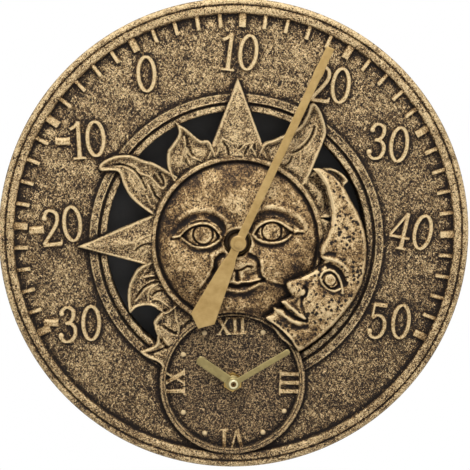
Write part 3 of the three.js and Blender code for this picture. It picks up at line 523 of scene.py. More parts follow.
class Board:
    """The nodes of one material, with short ways to add them."""

    def __init__(self, name: str) -> None:
        """Starts an empty material.

        Args:
            name: Name of the material.
        """
        self.material = bpy.data.materials.new(name)
        self.material.use_nodes = True
        self.tree = self.material.node_tree
        self.tree.nodes.clear()
        self.place = self.node("ShaderNodeTexCoord").outputs["Object"]

    def node(self, kind: str, inputs: dict | None = None, **settings: object) -> bpy.types.Node:
        """Adds a node to the material."""
        return add_node(self.tree, kind, inputs, **settings)

    def math(self, operation: str, *values: object) -> object:
        """Socket of a calculation with values or sockets."""
        return self.node("ShaderNodeMath", dict(enumerate(values)), operation=operation).outputs[0]

    def sum(self, *parts: tuple[object, float]) -> object:
        """Adds sockets, each times its own factor.

        Args:
            parts: Sockets with their factors.

        Returns:
            The socket of the sum.
        """
        total: object = 0.0
        for value, factor in parts:
            total = self.math("MULTIPLY_ADD", value, factor, total)
        return total

    def product(self, value: object, share: object) -> object:
        """A socket times another, which counts from 0 to 1.5."""
        held = self.node("ShaderNodeClamp", {"Value": share, "Min": 0.0, "Max": 1.5}).outputs[0]
        return self.math("MULTIPLY", value, held)

    def noise(
        self, scale: float, detail: float = 2, place: object = None, distortion: float = 0
    ) -> object:
        """Cloudy pattern about a middle of 0.

        Args:
            scale: Clouds to the metre.
            detail: Finer clouds in it.
            place: Socket of the place, if it isn't the object's own.
            distortion: How far the clouds are twisted into curls.

        Returns:
            The socket of the pattern.
        """
        inputs = {
            "Vector": place or self.place, "Scale": scale, "Detail": detail, "Roughness": 0.6,
            "Distortion": distortion,
        }
        return self.math("SUBTRACT", self.node("ShaderNodeTexNoise", inputs).outputs["Fac"], 0.5)

    def mapped(self, place: object, **changes: Triple) -> object:
        """Socket of a place that is turned or scaled."""
        return self.node("ShaderNodeMapping", {"Vector": place, **changes}).outputs[0]

    def cells(self, scale: float, reach: float) -> object:
        """Small ragged dots of height 1, with so many to the metre.

        Args:
            scale: Cells to the metre, with a dot in each.
            reach: Size of a dot, as a share of its cell.

        Returns:
            The socket of the pattern.
        """
        cloud = {"Vector": self.place, "Scale": 2.2 * scale}
        ragged = self.node("ShaderNodeTexNoise", cloud).outputs["Color"]
        bend = {0: ragged, 1: (0.7 / scale,) * 3, 2: self.place}
        place = self.node("ShaderNodeVectorMath", bend, operation="MULTIPLY_ADD").outputs[0]
        inputs = {"Vector": place, "Scale": scale}
        gap = self.node("ShaderNodeTexVoronoi", inputs).outputs["Distance"]
        spread = {"Value": gap, "From Min": 0, "From Max": reach, "To Min": 1, "To Max": 0}
        return self.node("ShaderNodeMapRange", spread, interpolation_type="SMOOTHSTEP").outputs[0]

    def brushed(self, turn: float, scale: float) -> object:
        """Streaks along a line turned from the upright, about a middle of 0."""
        place = self.mapped(self.place, Rotation=(0, math.radians(turn), 0))
        return self.noise(scale, 2, self.mapped(place, Scale=(1, 1, 0.16)))

    def point_value(self, name: str) -> object:
        """Value that the mesh keeps at each of its points."""
        return self.node("ShaderNodeAttribute", attribute_name=name).outputs["Fac"]

    def ramp(self, value: object, stops: Sequence[tuple[float, Colour]]) -> object:
        """Turns a value into a colour.

        Args:
            value: The socket.
            stops: Places along it with their colours.

        Returns:
            The socket of the colour.
        """
        made = self.node("ShaderNodeValToRGB", {0: value})
        marks = made.color_ramp.elements
        while len(marks) < len(stops):
            marks.new(0.5)
        for mark, (place, colour) in zip(marks, stops):
            mark.position = place
            mark.color = linear(colour)
        return made.outputs["Color"]

    def done(self, shader: dict, relief: object = None, depth: float = 0) -> Material:
        """Ends the material in its shader.

        Args:
            shader: Inputs of the shader.
            relief: Socket of the fine relief.
            depth: Height of the relief, in millimetres.

        Returns:
            The material.
        """
        inputs = dict(shader)
        if relief is not None:
            bump = {"Height": relief, "Distance": depth * MM, "Strength": 1}
            inputs["Normal"] = self.node("ShaderNodeBump", bump).outputs["Normal"]
        surface = self.node("ShaderNodeBsdfPrincipled", inputs).outputs["BSDF"]
        self.node("ShaderNodeOutputMaterial", {"Surface": surface})
        return self.material


@dataclass(frozen=True)
class CastFinish:
    """Cast metal with a sandy skin, dark with grime and painted shade in its hollows, rubbed bright on its
    edges, and painted lighter towards the top.
    """

    name: str
    dark: Colour = (24, 14, 6)
    brown: Colour = (76, 53, 28)
    middle: Colour = (134, 103, 63)
    bright: Colour = (186, 152, 101)
    glint: Colour = (232, 206, 158)
    level: float = 0.5
    mottling: float = 1.1
    speckle: float = 5.8
    sand: float = 0.7
    grain: float = 1.0
    streaks: float = 1.0
    pits: float = 0.3
    pit_scale: float = 420
    pit_reach: float = 0.38
    strokes: float = 0.9
    drift: float = 0.4
    polish: float = 0.5
    # Weight of the darkening of hollows and of ground beside raised metal: grime with painted shade on it.
    grime_and_shade: float = 0.75
    relief: float = 0.4
    # Painted light: how much lighter the casting is made towards the top, as if lit from above.
    painted_top_light: float = 0.9

    def material(self) -> Material:
        """Builds the material.

        Returns:
            The material.
        """
        board = Board(self.name)
        speckle = board.noise(scale=1120, detail=1.4, distortion=1.6)
        sand = board.noise(scale=360, distortion=0.6)
        grain = board.noise(scale=1900)
        streaks = board.sum((board.brushed(38, 900), 1.0), (board.brushed(-31, 900), 1.0))
        # The grime value darkens hollows and the ground beside raised metal: a real wash with painted shade
        # on it.
        worn, dirt_and_shade = board.point_value("polish"), board.point_value("grime_and_shade")
        patches = board.sum((board.noise(scale=75), 5.0), (worn, -1.2), (1.0, 0.9))
        pits = board.product(board.cells(self.pit_scale, self.pit_reach), patches)
        # Height of each point, for the painted light that makes the casting lighter towards the top.
        up = board.node("ShaderNodeSeparateXYZ", {0: board.place}).outputs["Z"]
        shade = board.sum(
            (up, self.painted_top_light), (board.noise(scale=70, detail=3), self.mottling),
            (speckle, self.speckle), (sand, self.sand), (grain, self.grain), (streaks, self.streaks),
            (board.brushed(81, 260), self.strokes), (board.noise(scale=20), self.drift),
            (pits, -self.pits), (worn, self.polish), (dirt_and_shade, -self.grime_and_shade), (1.0, self.level),
        )
        stops = (
            (0.0, self.dark), (0.27, self.brown), (0.52, self.middle), (0.78, self.bright),
            (1.0, self.glint),
        )
        shader = {
            "Base Color": board.ramp(shade, stops), "Metallic": 0.25, "Specular IOR Level": 0.3,
            "Roughness": board.sum((grain, 0.25), (worn, -0.12), (dirt_and_shade, 0.18), (1.0, 0.52)),
        }
        relief = board.sum((speckle, 1.0), (sand, 0.5), (grain, 0.4), (pits, -0.5))
        return board.done(shader, relief, self.relief)


@dataclass(frozen=True)
class MetalFinish:
    """Plain metal with fine scratches, a cloudy tarnish and faint turning marks."""

    name: str
    colour: Colour
    tarnish: Colour
    roughness: float = 0.3
    clouds: float = 160
    metallic: float = 0.9

    def material(self) -> Material:
        """Builds the material.

        Returns:
            The material.
        """
        board = Board(self.name)
        cloud = board.noise(self.clouds, detail=4)
        scratch = board.noise(420, 3, board.mapped(board.place, Scale=(1, 1, 14)))
        shade = board.sum((cloud, 1.7), (scratch, 0.7), (1.0, 0.42))
        shader = {
            "Base Color": board.ramp(shade, ((0.1, self.colour), (0.95, self.tarnish))),
            "Roughness": board.sum((cloud, 0.5), (scratch, 0.35), (1.0, self.roughness)),
            "Metallic": self.metallic,
        }
        return board.done(shader, scratch, 0.02)


@dataclass(frozen=True)
class MouldedFinish:
    """Moulded plastic or rubber with a fine even grain and a little dust."""

    name: str
    colour: Colour
    dusty: Colour
    roughness: float = 0.5
    grain: float = 1300
    depth: float = 0.06

    def material(self) -> Material:
        """Builds the material.

        Returns:
            The material.
        """
        board = Board(self.name)
        cloud, grain = board.noise(45, detail=4), board.noise(self.grain)
        shade = board.sum((cloud, 1.3), (grain, 0.5), (1.0, 0.4))
        shader = {
            "Base Color": board.ramp(shade, ((0.15, self.colour), (1.0, self.dusty))),
            "Roughness": board.sum((cloud, 0.25), (grain, 0.25), (1.0, self.roughness)),
        }
        return board.done(shader, grain, self.depth)


Finish = CastFinish | MetalFinish | MouldedFinish

DIAL_BRONZE = CastFinish("dial_bronze", level=0.245, grime_and_shade=0.9, polish=0.65, streaks=1.4, speckle=6.3)
RIM_BRONZE = CastFinish("rim_bronze", level=0.56, pits=1.6, pit_scale=620, speckle=4.8, streaks=0.3)
NUMERAL_BRONZE = CastFinish(
    "numeral_bronze", level=0.7, speckle=2.6, sand=0.5, streaks=0.2, mottling=0.4, relief=0.12,
    polish=0.5, grime_and_shade=0.4, strokes=0.3,
)
RING_BRONZE = CastFinish(
    "ring_bronze", level=0.37, pits=1.3, pit_scale=620, speckle=3.6, streaks=0.4, polish=0.5
)
PIP_BRONZE = CastFinish(
    "pip_bronze", level=1.1, speckle=1.5, sand=0.4, streaks=0, mottling=0, grime_and_shade=0.2, strokes=0, pits=0
)
SUN_BRONZE = CastFinish("sun_bronze", level=0.66, streaks=0.4, mottling=1.4, grime_and_shade=0.65, polish=0.85)
FACE_BRONZE = CastFinish(
    "face_bronze", level=0.64, speckle=2.5, sand=0.9, streaks=0.5, mottling=1.9, pits=1.7,
    pit_scale=520, grime_and_shade=0.7, polish=0.42, relief=0.22, strokes=0.6,
)
SMALL_DIAL_BRONZE = CastFinish(
    "small_dial_bronze", (20, 11, 5), (52, 34, 18), (92, 65, 38), (152, 119, 76), (212, 182, 134),
    level=0.18, polish=0.9, speckle=8.5, streaks=0.5,
)
MOON_BRONZE = CastFinish(
    "moon_bronze", level=0.82, speckle=2.6, sand=0.9, streaks=0.2, mottling=1.6, pits=2.6,
    pit_scale=350, pit_reach=0.5, grime_and_shade=1.05, polish=0.8, relief=0.35, strokes=0.5,
)
POINTER_GOLD = MetalFinish("pointer_gold", (191, 159, 100), (160, 128, 70), 0.45, metallic=0.3)
HAND_OLIVE = MetalFinish("hand_olive", (160, 144, 92), (124, 108, 66), 0.36, metallic=0.5)
NUT_GOLD = MetalFinish("nut_gold", (236, 228, 184), (208, 194, 142), 0.35, metallic=0.2)
OLD_BRASS = MetalFinish("old_brass", (120, 90, 46), (66, 46, 24), 0.4, metallic=0.6)
BOSS_BRONZE = MetalFinish("boss_bronze", (84, 64, 38), (46, 33, 19), 0.45, metallic=0.5)
BRASS = MetalFinish("brass", (206, 172, 100), (150, 116, 60), 0.3)
ZINC = MetalFinish("zinc", (176, 178, 180), (132, 134, 134), 0.34, clouds=90)
BIMETAL = MetalFinish("bimetal", (182, 164, 132), (140, 118, 88), 0.32)
CHARCOAL = MouldedFinish("charcoal_plastic", (30, 29, 29), (66, 62, 58), 0.55)
BLACK = MouldedFinish("black_plastic", (20, 20, 21), (46, 45, 44), 0.48)
NYLON = MouldedFinish("nylon", (222, 217, 204), (240, 236, 226), 0.42, 900, 0.03)
RUBBER = MouldedFinish("rubber", (24, 24, 24), (52, 51, 50), 0.8)
CELL_WRAP = MouldedFinish("cell_wrap", (38, 58, 52), (56, 82, 74), 0.3, 500, 0.01)


class Wardrobe:
    """Gives each piece its material, made once for each finish."""

    def __init__(self) -> None:
        """Starts with no material."""
        self.made: dict[str, Material] = {}

    def cover(self, piece: Piece, finish: Finish) -> None:
        """Gives a piece or a CAD node its only material.

        Args:
            piece: The piece.
            finish: Its finish.
        """
        if finish.name not in self.made:
            self.made[finish.name] = finish.material()
        piece.data.materials.clear()
        piece.data.materials.append(self.made[finish.name])
        triangles = sum(len(face.vertices) - 2 for face in piece.data.polygons)
        log.info("%s: %s, %d triangles", piece.name, finish.name, triangles)

    def dress(
        self, piece: Piece, finish: Finish, slot: str, body: Body = Body.CASE, nodes: Sequence[str] = ()
    ) -> None:
        """Dresses a piece and lets it ride on its body.

        Args:
            piece: The piece.
            finish: Its finish.
            slot: Name of its slot; it is not used.
            body: The body that carries it.
            nodes: The CAD nodes that it stands for.
        """
        self.cover(piece, finish)
        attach(piece, body.value)
        if nodes:
            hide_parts(*nodes)


def repeated(name: str, template: Piece, places: Array, turns: Sequence[float], sizes: Array) -> Piece:
    """Copies of a template at places on the dial, made with Geometry Nodes.

    Args:
        name: Name of the piece.
        template: Shape of a copy, round the middle of the dial. It is used up.
        places: Rows of x, y and h.
        turns: Clockwise turn of each copy, in degrees.
        sizes: Rows of factors across, out of the wall, and up.

    Returns:
        One plain mesh with every copy in it.
    """
    points = bpy.data.meshes.new(name + "_places")
    points.from_pydata(in_world(places).tolist(), [], [])
    turn = points.attributes.new("turn", "FLOAT", "POINT")
    turn.data.foreach_set("value", np.radians(turns).astype(np.float32))
    size = points.attributes.new("size", "FLOAT_VECTOR", "POINT")
    size.data.foreach_set("vector", sizes.astype(np.float32).ravel())
    carrier = linked(name + "_carrier", points)
    tree = bpy.data.node_groups.new(name + "_tree", "GeometryNodeTree")
    modifier = carrier.modifiers.new("copies", "NODES")
    values = {"Shape": template, "Overall size": 1.0, "Finish": None}
    kinds = {"Geometry": "Geometry", "Shape": "Object", "Overall size": "Float", "Finish": "Material"}
    sockets = {
        socket: tree.interface.new_socket(socket, in_out="INPUT", socket_type="NodeSocket" + kind)
        for socket, kind in kinds.items()
    }
    tree.interface.new_socket("Geometry", in_out="OUTPUT", socket_type="NodeSocketGeometry")
    node = partial(add_node, tree)
    group = node("NodeGroupInput").outputs
    named = partial(node, "GeometryNodeInputNamedAttribute")
    rotation = node("ShaderNodeCombineXYZ", {"Y": named({"Name": "turn"}).outputs["Attribute"]})
    factors = named({"Name": "size"}, data_type="FLOAT_VECTOR").outputs["Attribute"]
    inputs = {0: factors, "Scale": group["Overall size"]}
    scaled = node("ShaderNodeVectorMath", inputs, operation="SCALE")
    inputs = {
        "Points": node("GeometryNodeMeshToPoints", {"Mesh": group["Geometry"]}).outputs[0],
        "Instance": node("GeometryNodeObjectInfo", {"Object": group["Shape"]}).outputs["Geometry"],
        "Rotation": rotation.outputs[0], "Scale": scaled.outputs[0],
    }
    copies = node("GeometryNodeInstanceOnPoints", inputs)
    whole = node("GeometryNodeRealizeInstances", {0: copies.outputs[0]})
    inputs = {"Geometry": whole.outputs[0], "Material": group["Finish"]}
    node("NodeGroupOutput", {0: node("GeometryNodeSetMaterial", inputs).outputs[0]})
    modifier.node_group = tree
    for socket, value in values.items():
        modifier[sockets[socket].identifier] = value
    evaluated = carrier.evaluated_get(bpy.context.evaluated_depsgraph_get())
    mesh = bpy.data.meshes.new_from_object(evaluated)
    mesh.name = name
    for attribute in ("turn", "size"):
        if attribute in mesh.attributes:
            mesh.attributes.remove(mesh.attributes[attribute])
    carrier.modifiers.remove(modifier)
    bpy.data.objects.remove(carrier)
    bpy.data.objects.remove(template)
    return linked(name, mesh)


def rounded_block(width: float, length: float, rise: float, bevel: float) -> Piece:
    """Block with drafted sides and a rounded top, drawn round the middle of the dial.

    Args:
        width: Size across.
        length: Size up.
        rise: Height over the ground.
        bevel: Round of its top.

    Returns:
        The block.
    """
    insets = (
        (-0.25, -1.0), (0, 0.0), (0.1, rise - bevel), (bevel * 0.35, rise - bevel * 0.3), (bevel, rise),
    )
    rows = []
    for inset, height in insets:
        x, y = width / 2 - inset, length / 2 - inset
        corner = min(x, y) * 0.3
        quarter = [(x, y - corner), (x - corner, y)]
        half = [*quarter, *[(-a, b) for a, b in reversed(quarter)]]
        ring = [*half, *[(a, -b) for a, b in reversed(half)]]
        rows.append([(*point, height) for point in ring])
    return Shell().lofted(np.array(rows), False).piece("template", 30)


# Numerals


@dataclass(frozen=True)
class Glyph:
    """A numeral drawn with a pen: smooth strokes, straight strokes and round ends, 1 high."""

    curves: tuple[Path, ...] = ()
    lines: tuple[tuple[Pair, Pair, float], ...] = ()
    balls: tuple[Triple, ...] = ()
    width: float = 0.54


def oval(half_width: float, half_height: float) -> Path:
    """Closed oval as a path whose end meets its start."""
    angle = np.linspace(0, 2 * math.pi, 33)
    return [(half_width * math.sin(a), half_height * math.cos(a)) for a in angle]


GLYPHS = {
    "0": Glyph((oval(0.215, 0.452),)),
    "1": Glyph(
        (((-0.17, 0.30), (-0.06, 0.36), (0.02, 0.44), (0.05, 0.49)),),
        (((0.045, 0.5), (0.045, -0.48), 0.055), ((-0.12, -0.475), (0.21, -0.475), 0.028)),
    ),
    "2": Glyph(
        (((-0.17, 0.27), (-0.1, 0.43), (0.02, 0.465), (0.15, 0.38), (0.18, 0.22), (0.12, 0.05),
          (0, -0.12), (-0.13, -0.29), (-0.23, -0.43)),),
        (((-0.24, -0.445), (0.24, -0.445), 0.05), ((0.235, -0.46), (0.25, -0.33), 0.028)),
        ((-0.16, 0.28, 0.075),),
    ),
    "3": Glyph(
        (((-0.17, 0.32), (-0.08, 0.44), (0.03, 0.465), (0.15, 0.38), (0.16, 0.22), (0.08, 0.08),
          (-0.05, 0.03)),
         ((-0.05, 0.03), (0.1, 0.02), (0.2, -0.09), (0.21, -0.26), (0.13, -0.41), (0, -0.465),
          (-0.12, -0.43), (-0.19, -0.32))),
        (),
        ((-0.15, 0.3, 0.07), (-0.17, -0.3, 0.075)),
    ),
    "4": Glyph(
        (),
        (((0.1, 0.49), (-0.27, -0.17), 0.034), ((-0.28, -0.18), (0.27, -0.18), 0.036),
         ((0.1, 0.5), (0.1, -0.48), 0.055), ((-0.03, -0.475), (0.23, -0.475), 0.028)),
    ),
    "5": Glyph(
        (((-0.15, 0.06), (-0.03, 0.15), (0.11, 0.12), (0.2, 0), (0.21, -0.2), (0.13, -0.39),
          (0, -0.465), (-0.12, -0.43), (-0.19, -0.32)),),
        (((-0.13, 0.44), (0.22, 0.44), 0.058), ((-0.12, 0.46), (-0.15, 0.05), 0.034)),
        ((-0.17, -0.3, 0.075),),
    ),
    "-": Glyph((), (((-0.19, 0), (0.19, 0), 0.095),)),
    "I": Glyph(
        (), (((0, 0.48), (0, -0.48), 0.105), ((-0.19, 0.465), (0.19, 0.465), 0.04),
             ((-0.19, -0.465), (0.19, -0.465), 0.04)), width=0.43),
    "V": Glyph(
        (), (((-0.25, 0.48), (0, -0.48), 0.11), ((0.25, 0.48), (0.02, -0.48), 0.055),
             ((-0.41, 0.465), (-0.1, 0.465), 0.04), ((0.11, 0.465), (0.4, 0.465), 0.04)),
        width=0.8),
    "X": Glyph(
        (), (((-0.27, 0.48), (0.27, -0.48), 0.11), ((0.27, 0.48), (-0.27, -0.48), 0.055),
             ((-0.43, 0.465), (-0.12, 0.465), 0.04), ((0.13, 0.465), (0.41, 0.465), 0.04),
             ((-0.41, -0.465), (-0.13, -0.465), 0.04), ((0.12, -0.465), (0.43, -0.465), 0.04)),
        width=0.9),
}
STRESS = (0.032, 0.021)


def stroke(shell: Shell, path: Array, halves: Array, base: float, rise: float) -> None:
    """Adds one raised stroke with rounded shoulders.

    Args:
        shell: Where it goes.
        path: Its middle line.
        halves: Half widths along it.
        base: Ground it stands on.
        rise: Its height.
    """
    closed = np.linalg.norm(path[0] - path[-1]) < 1e-6
    if closed:
        path, halves = path[:-1], halves[:-1]
        along = np.roll(path, -1, axis=0) - np.roll(path, 1, axis=0)
    else:
        along = np.gradient(path, axis=0)
    along /= np.linalg.norm(along, axis=1, keepdims=True)
    side = np.column_stack([along[:, 1], -along[:, 0]])
    half = ((-1.12, -1.0), (-1.06, 0.0), (-0.92, 0.72), (-0.62, 0.98))
    rows = []
    for across, up in (*half, (0, 0.9), *[(-across, up) for across, up in reversed(half)]):
        height = np.full(len(path), base + (up * rise if up >= 0 else up))
        rows.append(np.column_stack([path + side * (across * halves)[:, None], height]))
    shell.lofted(np.stack(rows, axis=1), closed)


@dataclass(frozen=True)
class Lettering:
    """One numeral or row of numerals in its place."""

    text: str
    place: Pair
    arc: float
    height: float
    weight: float = 1.0
    overlap: float = 0.015

    def add_to(self, shell: Shell, base: float, rise: float) -> None:
        """Adds the numerals to a shell, each stroke a little above the one before.

        Args:
            shell: Where they go.
            base: Ground they stand on.
            rise: Their height.
        """
        start = -sum(GLYPHS[letter].width for letter in self.text) / 2
        up, right = heading(self.arc), heading(self.arc + 90)

        def placed(points: Path, shift: float) -> Array:
            """Points of a numeral, moved onto the dial."""
            table = np.array(points, float) * self.height
            middle = np.array(self.place) + right * shift * self.height
            return middle + table[:, :1] * right + table[:, 1:] * up

        for letter in self.text:
            glyph = GLYPHS[letter]
            shift = start + glyph.width / 2
            start += glyph.width
            lift = rise
            for curve in glyph.curves:
                line = spline(curve, 5 if len(curve) < 20 else 2)
                step = np.gradient(line, axis=0)
                upright = np.abs(step[:, 1]) / np.maximum(np.linalg.norm(step, axis=1), 1e-9)
                halves = (STRESS[0] + STRESS[1] * upright) * self.height
                stroke(shell, placed(line, shift), halves, base, lift)
                lift += self.overlap
            for begin, end, half in glyph.lines:
                line = np.linspace(begin, end, 6)
                flare = np.array([1.12, 1, 1, 1, 1, 1.12]) * half * self.height * self.weight
                stroke(shell, placed(line, shift), flare, base, lift)
                lift += self.overlap
            for x, y, radius in glyph.balls:
                size = radius * self.height
                crown = [
                    (0, base - 1), (size, base - 1), (size * 0.98, base), (size * 0.86, base + rise * 0.8),
                    (size * 0.5, base + rise * 1.05), (0, base + rise * 1.1),
                ]
                shell.turned(placed([(x, y)], shift)[0], crown, 20)


# The castings

SUN_CENTRE = np.array([1.0, -4.1])
SMALL_CENTRE = np.array([-1.9, -94.5])
TO_SMALL = SMALL_CENTRE - SUN_CENTRE
SUN_REACH = 104.0
RIM_INNER = 140.4
COVER_SEAT = 3.3
BELOW_ALL = 99.0
SCALE = (
    ("-", -109.1, 60.0, -3), ("1", -100.1, 60.6, -3), ("0", -88.5, 61.6, -3), ("-", -126.1, 3.9, -5),
    ("2", -116.8, 5.2, -5), ("0", -103.6, 7.8, -5), ("-", -117.4, -55.4, 0), ("3", -107.2, -56.7, 0),
    ("0", -92.1, -55.8, 0), ("0", -56.2, 102.3, -2), ("1", -4.6, 116.4, 7), ("0", 8.2, 115.8, 7),
    ("2", 54.7, 95.9, 7), ("0", 67.0, 94.9, 7), ("3", 90.3, 59.4, 7), ("0", 104.7, 57.4, 7),
    ("4", 106.3, 2.3, 12), ("0", 120.4, 1.0, 12), ("5", 91.5, -56.0, 7), ("0", 106.9, -56.7, 7),
)
ROMANS = (
    ("XII", -1.5, 36.1, 11.2), ("III", 92, 36.9, 13.2), ("VI", 180, 37.6, 13.2), ("IX", 270, 37.1, 13.2),
)


def from_sun(x: Array, y: Array) -> tuple[Array, Array]:
    """Points of the dial measured from the sun's centre."""
    return x - SUN_CENTRE[0], y - SUN_CENTRE[1]


def scale_arc(degrees: float) -> float:
    """Arc of a temperature on the scale."""
    return 1.45 + (degrees - 10) * 2.9


def to_rim(across: Array, up: Array, radius: float) -> Array:
    """Distance from the sun's centre to a circle round the dial's middle.

    Args:
        across: Share across of the direction.
        up: Share up of the direction.
        radius: Radius of the circle.

    Returns:
        The distance in each direction.
    """
    along = SUN_CENTRE[0] * across + SUN_CENTRE[1] * up
    square = SUN_CENTRE[0] ** 2 + SUN_CENTRE[1] ** 2
    return np.sqrt(along**2 - square + radius**2) - along


def rounded(points: Path, radius: float, steps: int = 3) -> Path:
    """Section with its corners rounded.

    Args:
        points: Corners of a closed section.
        radius: Largest round of a corner.
        steps: Points of each round, less one.

    Returns:
        Points of the rounded section.
    """
    table = np.array(points, float)
    made = []
    for before, here, after in zip(np.roll(table, 1, axis=0), table, np.roll(table, -1, axis=0)):
        back, onward = before - here, after - here
        reach = min(radius, np.linalg.norm(back) * 0.45, np.linalg.norm(onward) * 0.45)
        start = here + back / np.linalg.norm(back) * reach
        end = here + onward / np.linalg.norm(onward) * reach
        for share in np.linspace(0, 1, steps + 1):
            rest = 1 - share
            made.append(tuple(rest**2 * start + 2 * share * rest * here + share**2 * end))
    return made


@dataclass
class Dial:
    """Rim, field, window ring, small dial, scale and numerals."""

    radius: float = 149.95
    front: float = 24.0
    field_front: float = 21.0
    field_back: float = 17.0
    ring_outer: float = 94.0
    small_radius: float = 46.8
    small_ring: float = 3.9
    small_front: float = 25.0
    small_floor: float = 20.8
    digit: float = 23.7
    digit_rise: float = 1.5
    roman_rise: float = 1.2
    roman_weight: float = 0.9
    mark_length: float = 8.5
    mark_widths: Pair = (2.35, 4.7)
    pip_reach: float = 37.6
    pip_shift: Pair = (0.9, -1.0)

    def rim(self) -> Piece:
        """Turned rim with its groove, closed at the back by the cover's seat.

        Returns:
            The rim.
        """
        front, field_front = self.front, self.field_front
        corners = [
            (self.radius, 0), (self.radius, front - 1.4), (148.4, front), (146.4, front),
            (145.7, front - 1.2), (145.0, front), (141.6, front - 0.1), (RIM_INNER, front - 1.2),
            (139.9, field_front - 0.2), (139.2, field_front - 1.5), (139.2, self.field_back),
            (143.8, self.field_back), (143.8, COVER_SEAT), (146.4, COVER_SEAT), (146.4, 0),
        ]
        return Shell().turned((0, 0), rounded(corners, 0.8), 540).piece("dial_rim", 50)

    def plain_field(self) -> Piece:
        """The cast field between the window ring, the small dial and the rim.

        Returns:
            The field.
        """
        angle = directions(720)
        cosine, sine = np.cos(angle), np.sin(angle)
        end = to_rim(cosine, sine, RIM_INNER + 0.2)
        along = TO_SMALL[0] * cosine + TO_SMALL[1] * sine
        room = along**2 - TO_SMALL @ TO_SMALL + (self.small_radius - 1) ** 2
        small_end = np.where((room > 0) & (along > 0), along + np.sqrt(np.maximum(room, 0)), 0)
        begin = np.maximum(self.ring_outer - 1, small_end)
        reach = begin[:, None] + (end - begin)[:, None] * np.linspace(0, 1, 44)[None, :]
        x, y = polar(SUN_CENTRE, reach, angle[:, None])
        top = self.field_front + 0.16 * ripple(x, y, (7.3, 9.1, 6.1, 11.7), (1.7, 1.3))
        foot = np.full((len(angle), 1), self.field_back)
        x = np.concatenate([x, x[:, -1:], x[:, :1]], axis=1)
        y = np.concatenate([y, y[:, -1:], y[:, :1]], axis=1)
        h = np.concatenate([top, foot, foot], axis=1)
        return Shell().lofted(np.stack([x, y, h], axis=-1), True).piece("dial_field", 50)

    def window_ring(self) -> Piece:
        """Double bead round the window with its tube behind, open where the small dial stands.

        Returns:
            The ring.
        """
        corners = [
            (83.0, COVER_SEAT), (83.0, 22.2), (83.7, 22.9), (86.4, 22.9), (87.1, 22.2), (87.4, 21.2),
            (88.3, 21.2), (88.6, 22.4), (89.1, 23.4), (89.8, 23.0), (92.9, 22.9), (93.5, 23.3),
            (94.0, 22.5), (94.3, 20.4), (94.3, 17.0), (86.0, 17.0), (86.0, COVER_SEAT),
        ]
        section = np.array(rounded(corners, 0.45))
        radius, gap = section[:, 0], float(np.linalg.norm(TO_SMALL))
        cut = (radius**2 + gap**2 - (self.small_radius - 1.4) ** 2) / (2 * radius * gap)
        middle, half = math.atan2(TO_SMALL[1], TO_SMALL[0]), np.arccos(cut)
        angle = middle + half + (2 * math.pi - 2 * half) * np.linspace(0, 1, 460)[:, None]
        x, y = polar(SUN_CENTRE, radius, angle)
        rows = np.stack([x, y, np.broadcast_to(section[:, 1], angle.shape)], axis=-1)
        return Shell().lofted(rows, False).piece("window_ring", 50)

    def small_dial(self) -> Piece:
        """Bowl of the small dial with its double ring.

        Returns:
            The small dial.
        """
        outer, inner = self.small_radius, self.small_radius - self.small_ring
        floor, front = self.small_floor, self.small_front
        corners = [
            (4.3, 17.8), (4.3, floor), (inner - 0.6, floor), (inner, floor + 0.5),
            (inner + 0.1, front - 0.9), (inner + 0.6, front - 0.2), (inner + 1.1, front - 0.3),
            (inner + 1.5, front - 1.0), (inner + 1.9, front - 0.3), (inner + 2.5, front),
            (outer - 0.15, front - 0.6), (outer, 19.0), (outer, COVER_SEAT), (43.0, COVER_SEAT), (43.0, 17.8),
        ]
        section = rounded(corners, 0.35)
        steps = [(radius, floor) for radius in np.linspace(5, inner - 1.4, 26)]
        place = next(i for i, point in enumerate(section) if point[0] > 5 and point[1] > 20)
        profile = [*section[:place], *steps, *section[place:]]
        return Shell().turned(SMALL_CENTRE, profile, 260).piece("small_dial", 50)

    def numerals(self) -> Piece:
        """Numerals of the temperature scale.

        Returns:
            The numerals.
        """
        shell = Shell()
        for text, x, y, arc in SCALE:
            Lettering(text, (x, y), arc, self.digit).add_to(shell, self.field_front, self.digit_rise)
        return shell.piece("scale_numerals", 40)

    def hours(self) -> Piece:
        """Roman numerals of the small dial.

        Returns:
            The numerals.
        """
        shell = Shell()
        for text, arc, reach, size in ROMANS:
            x, y = SMALL_CENTRE + heading(arc) * reach
            row = Lettering(text, (x, y), arc, size, self.roman_weight)
            row.add_to(shell, self.small_floor, self.roman_rise)
        return shell.piece("hour_numerals", 40)

    def marks(self) -> Piece:
        """Marks of the temperature scale, wider at each tenth degree.

        Returns:
            The marks.
        """
        degrees = np.arange(-30, 51, 2)
        arcs, places, sizes = scale_arc(degrees), [], []
        for degree, arc in zip(degrees, arcs):
            direction = heading(arc)
            reach = to_rim(*direction, RIM_INNER) - self.mark_length / 2
            places.append((*(SUN_CENTRE + direction * reach), self.field_front))
            sizes.append((self.mark_widths[int(degree % 10 == 0)], 1, 1))
        block = rounded_block(1, self.mark_length, 1.6, 0.16)
        return repeated("scale_marks", block, np.array(places), arcs, np.array(sizes))

    def pips(self) -> Piece:
        """Dots at the hours that have no numeral.

        Returns:
            The dots.
        """
        hours = [hour for hour in range(12) if hour % 3]
        middle = SMALL_CENTRE + self.pip_shift
        places = [(*(middle + heading(hour * 30) * self.pip_reach), self.small_floor) for hour in hours]
        profile = [(0, -1), (1.62, -1), (1.6, 0.2), (1.4, 0.8), (0.9, 1.2), (0, 1.3)]
        dome = Shell().turned((0, 0), profile, 20).piece("template")
        return repeated("hour_dots", dome, np.array(places), [0] * len(hours), np.ones((len(hours), 3)))


@dataclass
class Flame:
    """A curled ray: its outline in shares of the reach, and the lines on it in millimetres.

    It has no lip along its seam, where it runs into the next ray.
    """

    outline: Path
    lines: Lines = ()
    seam: Path | None = None


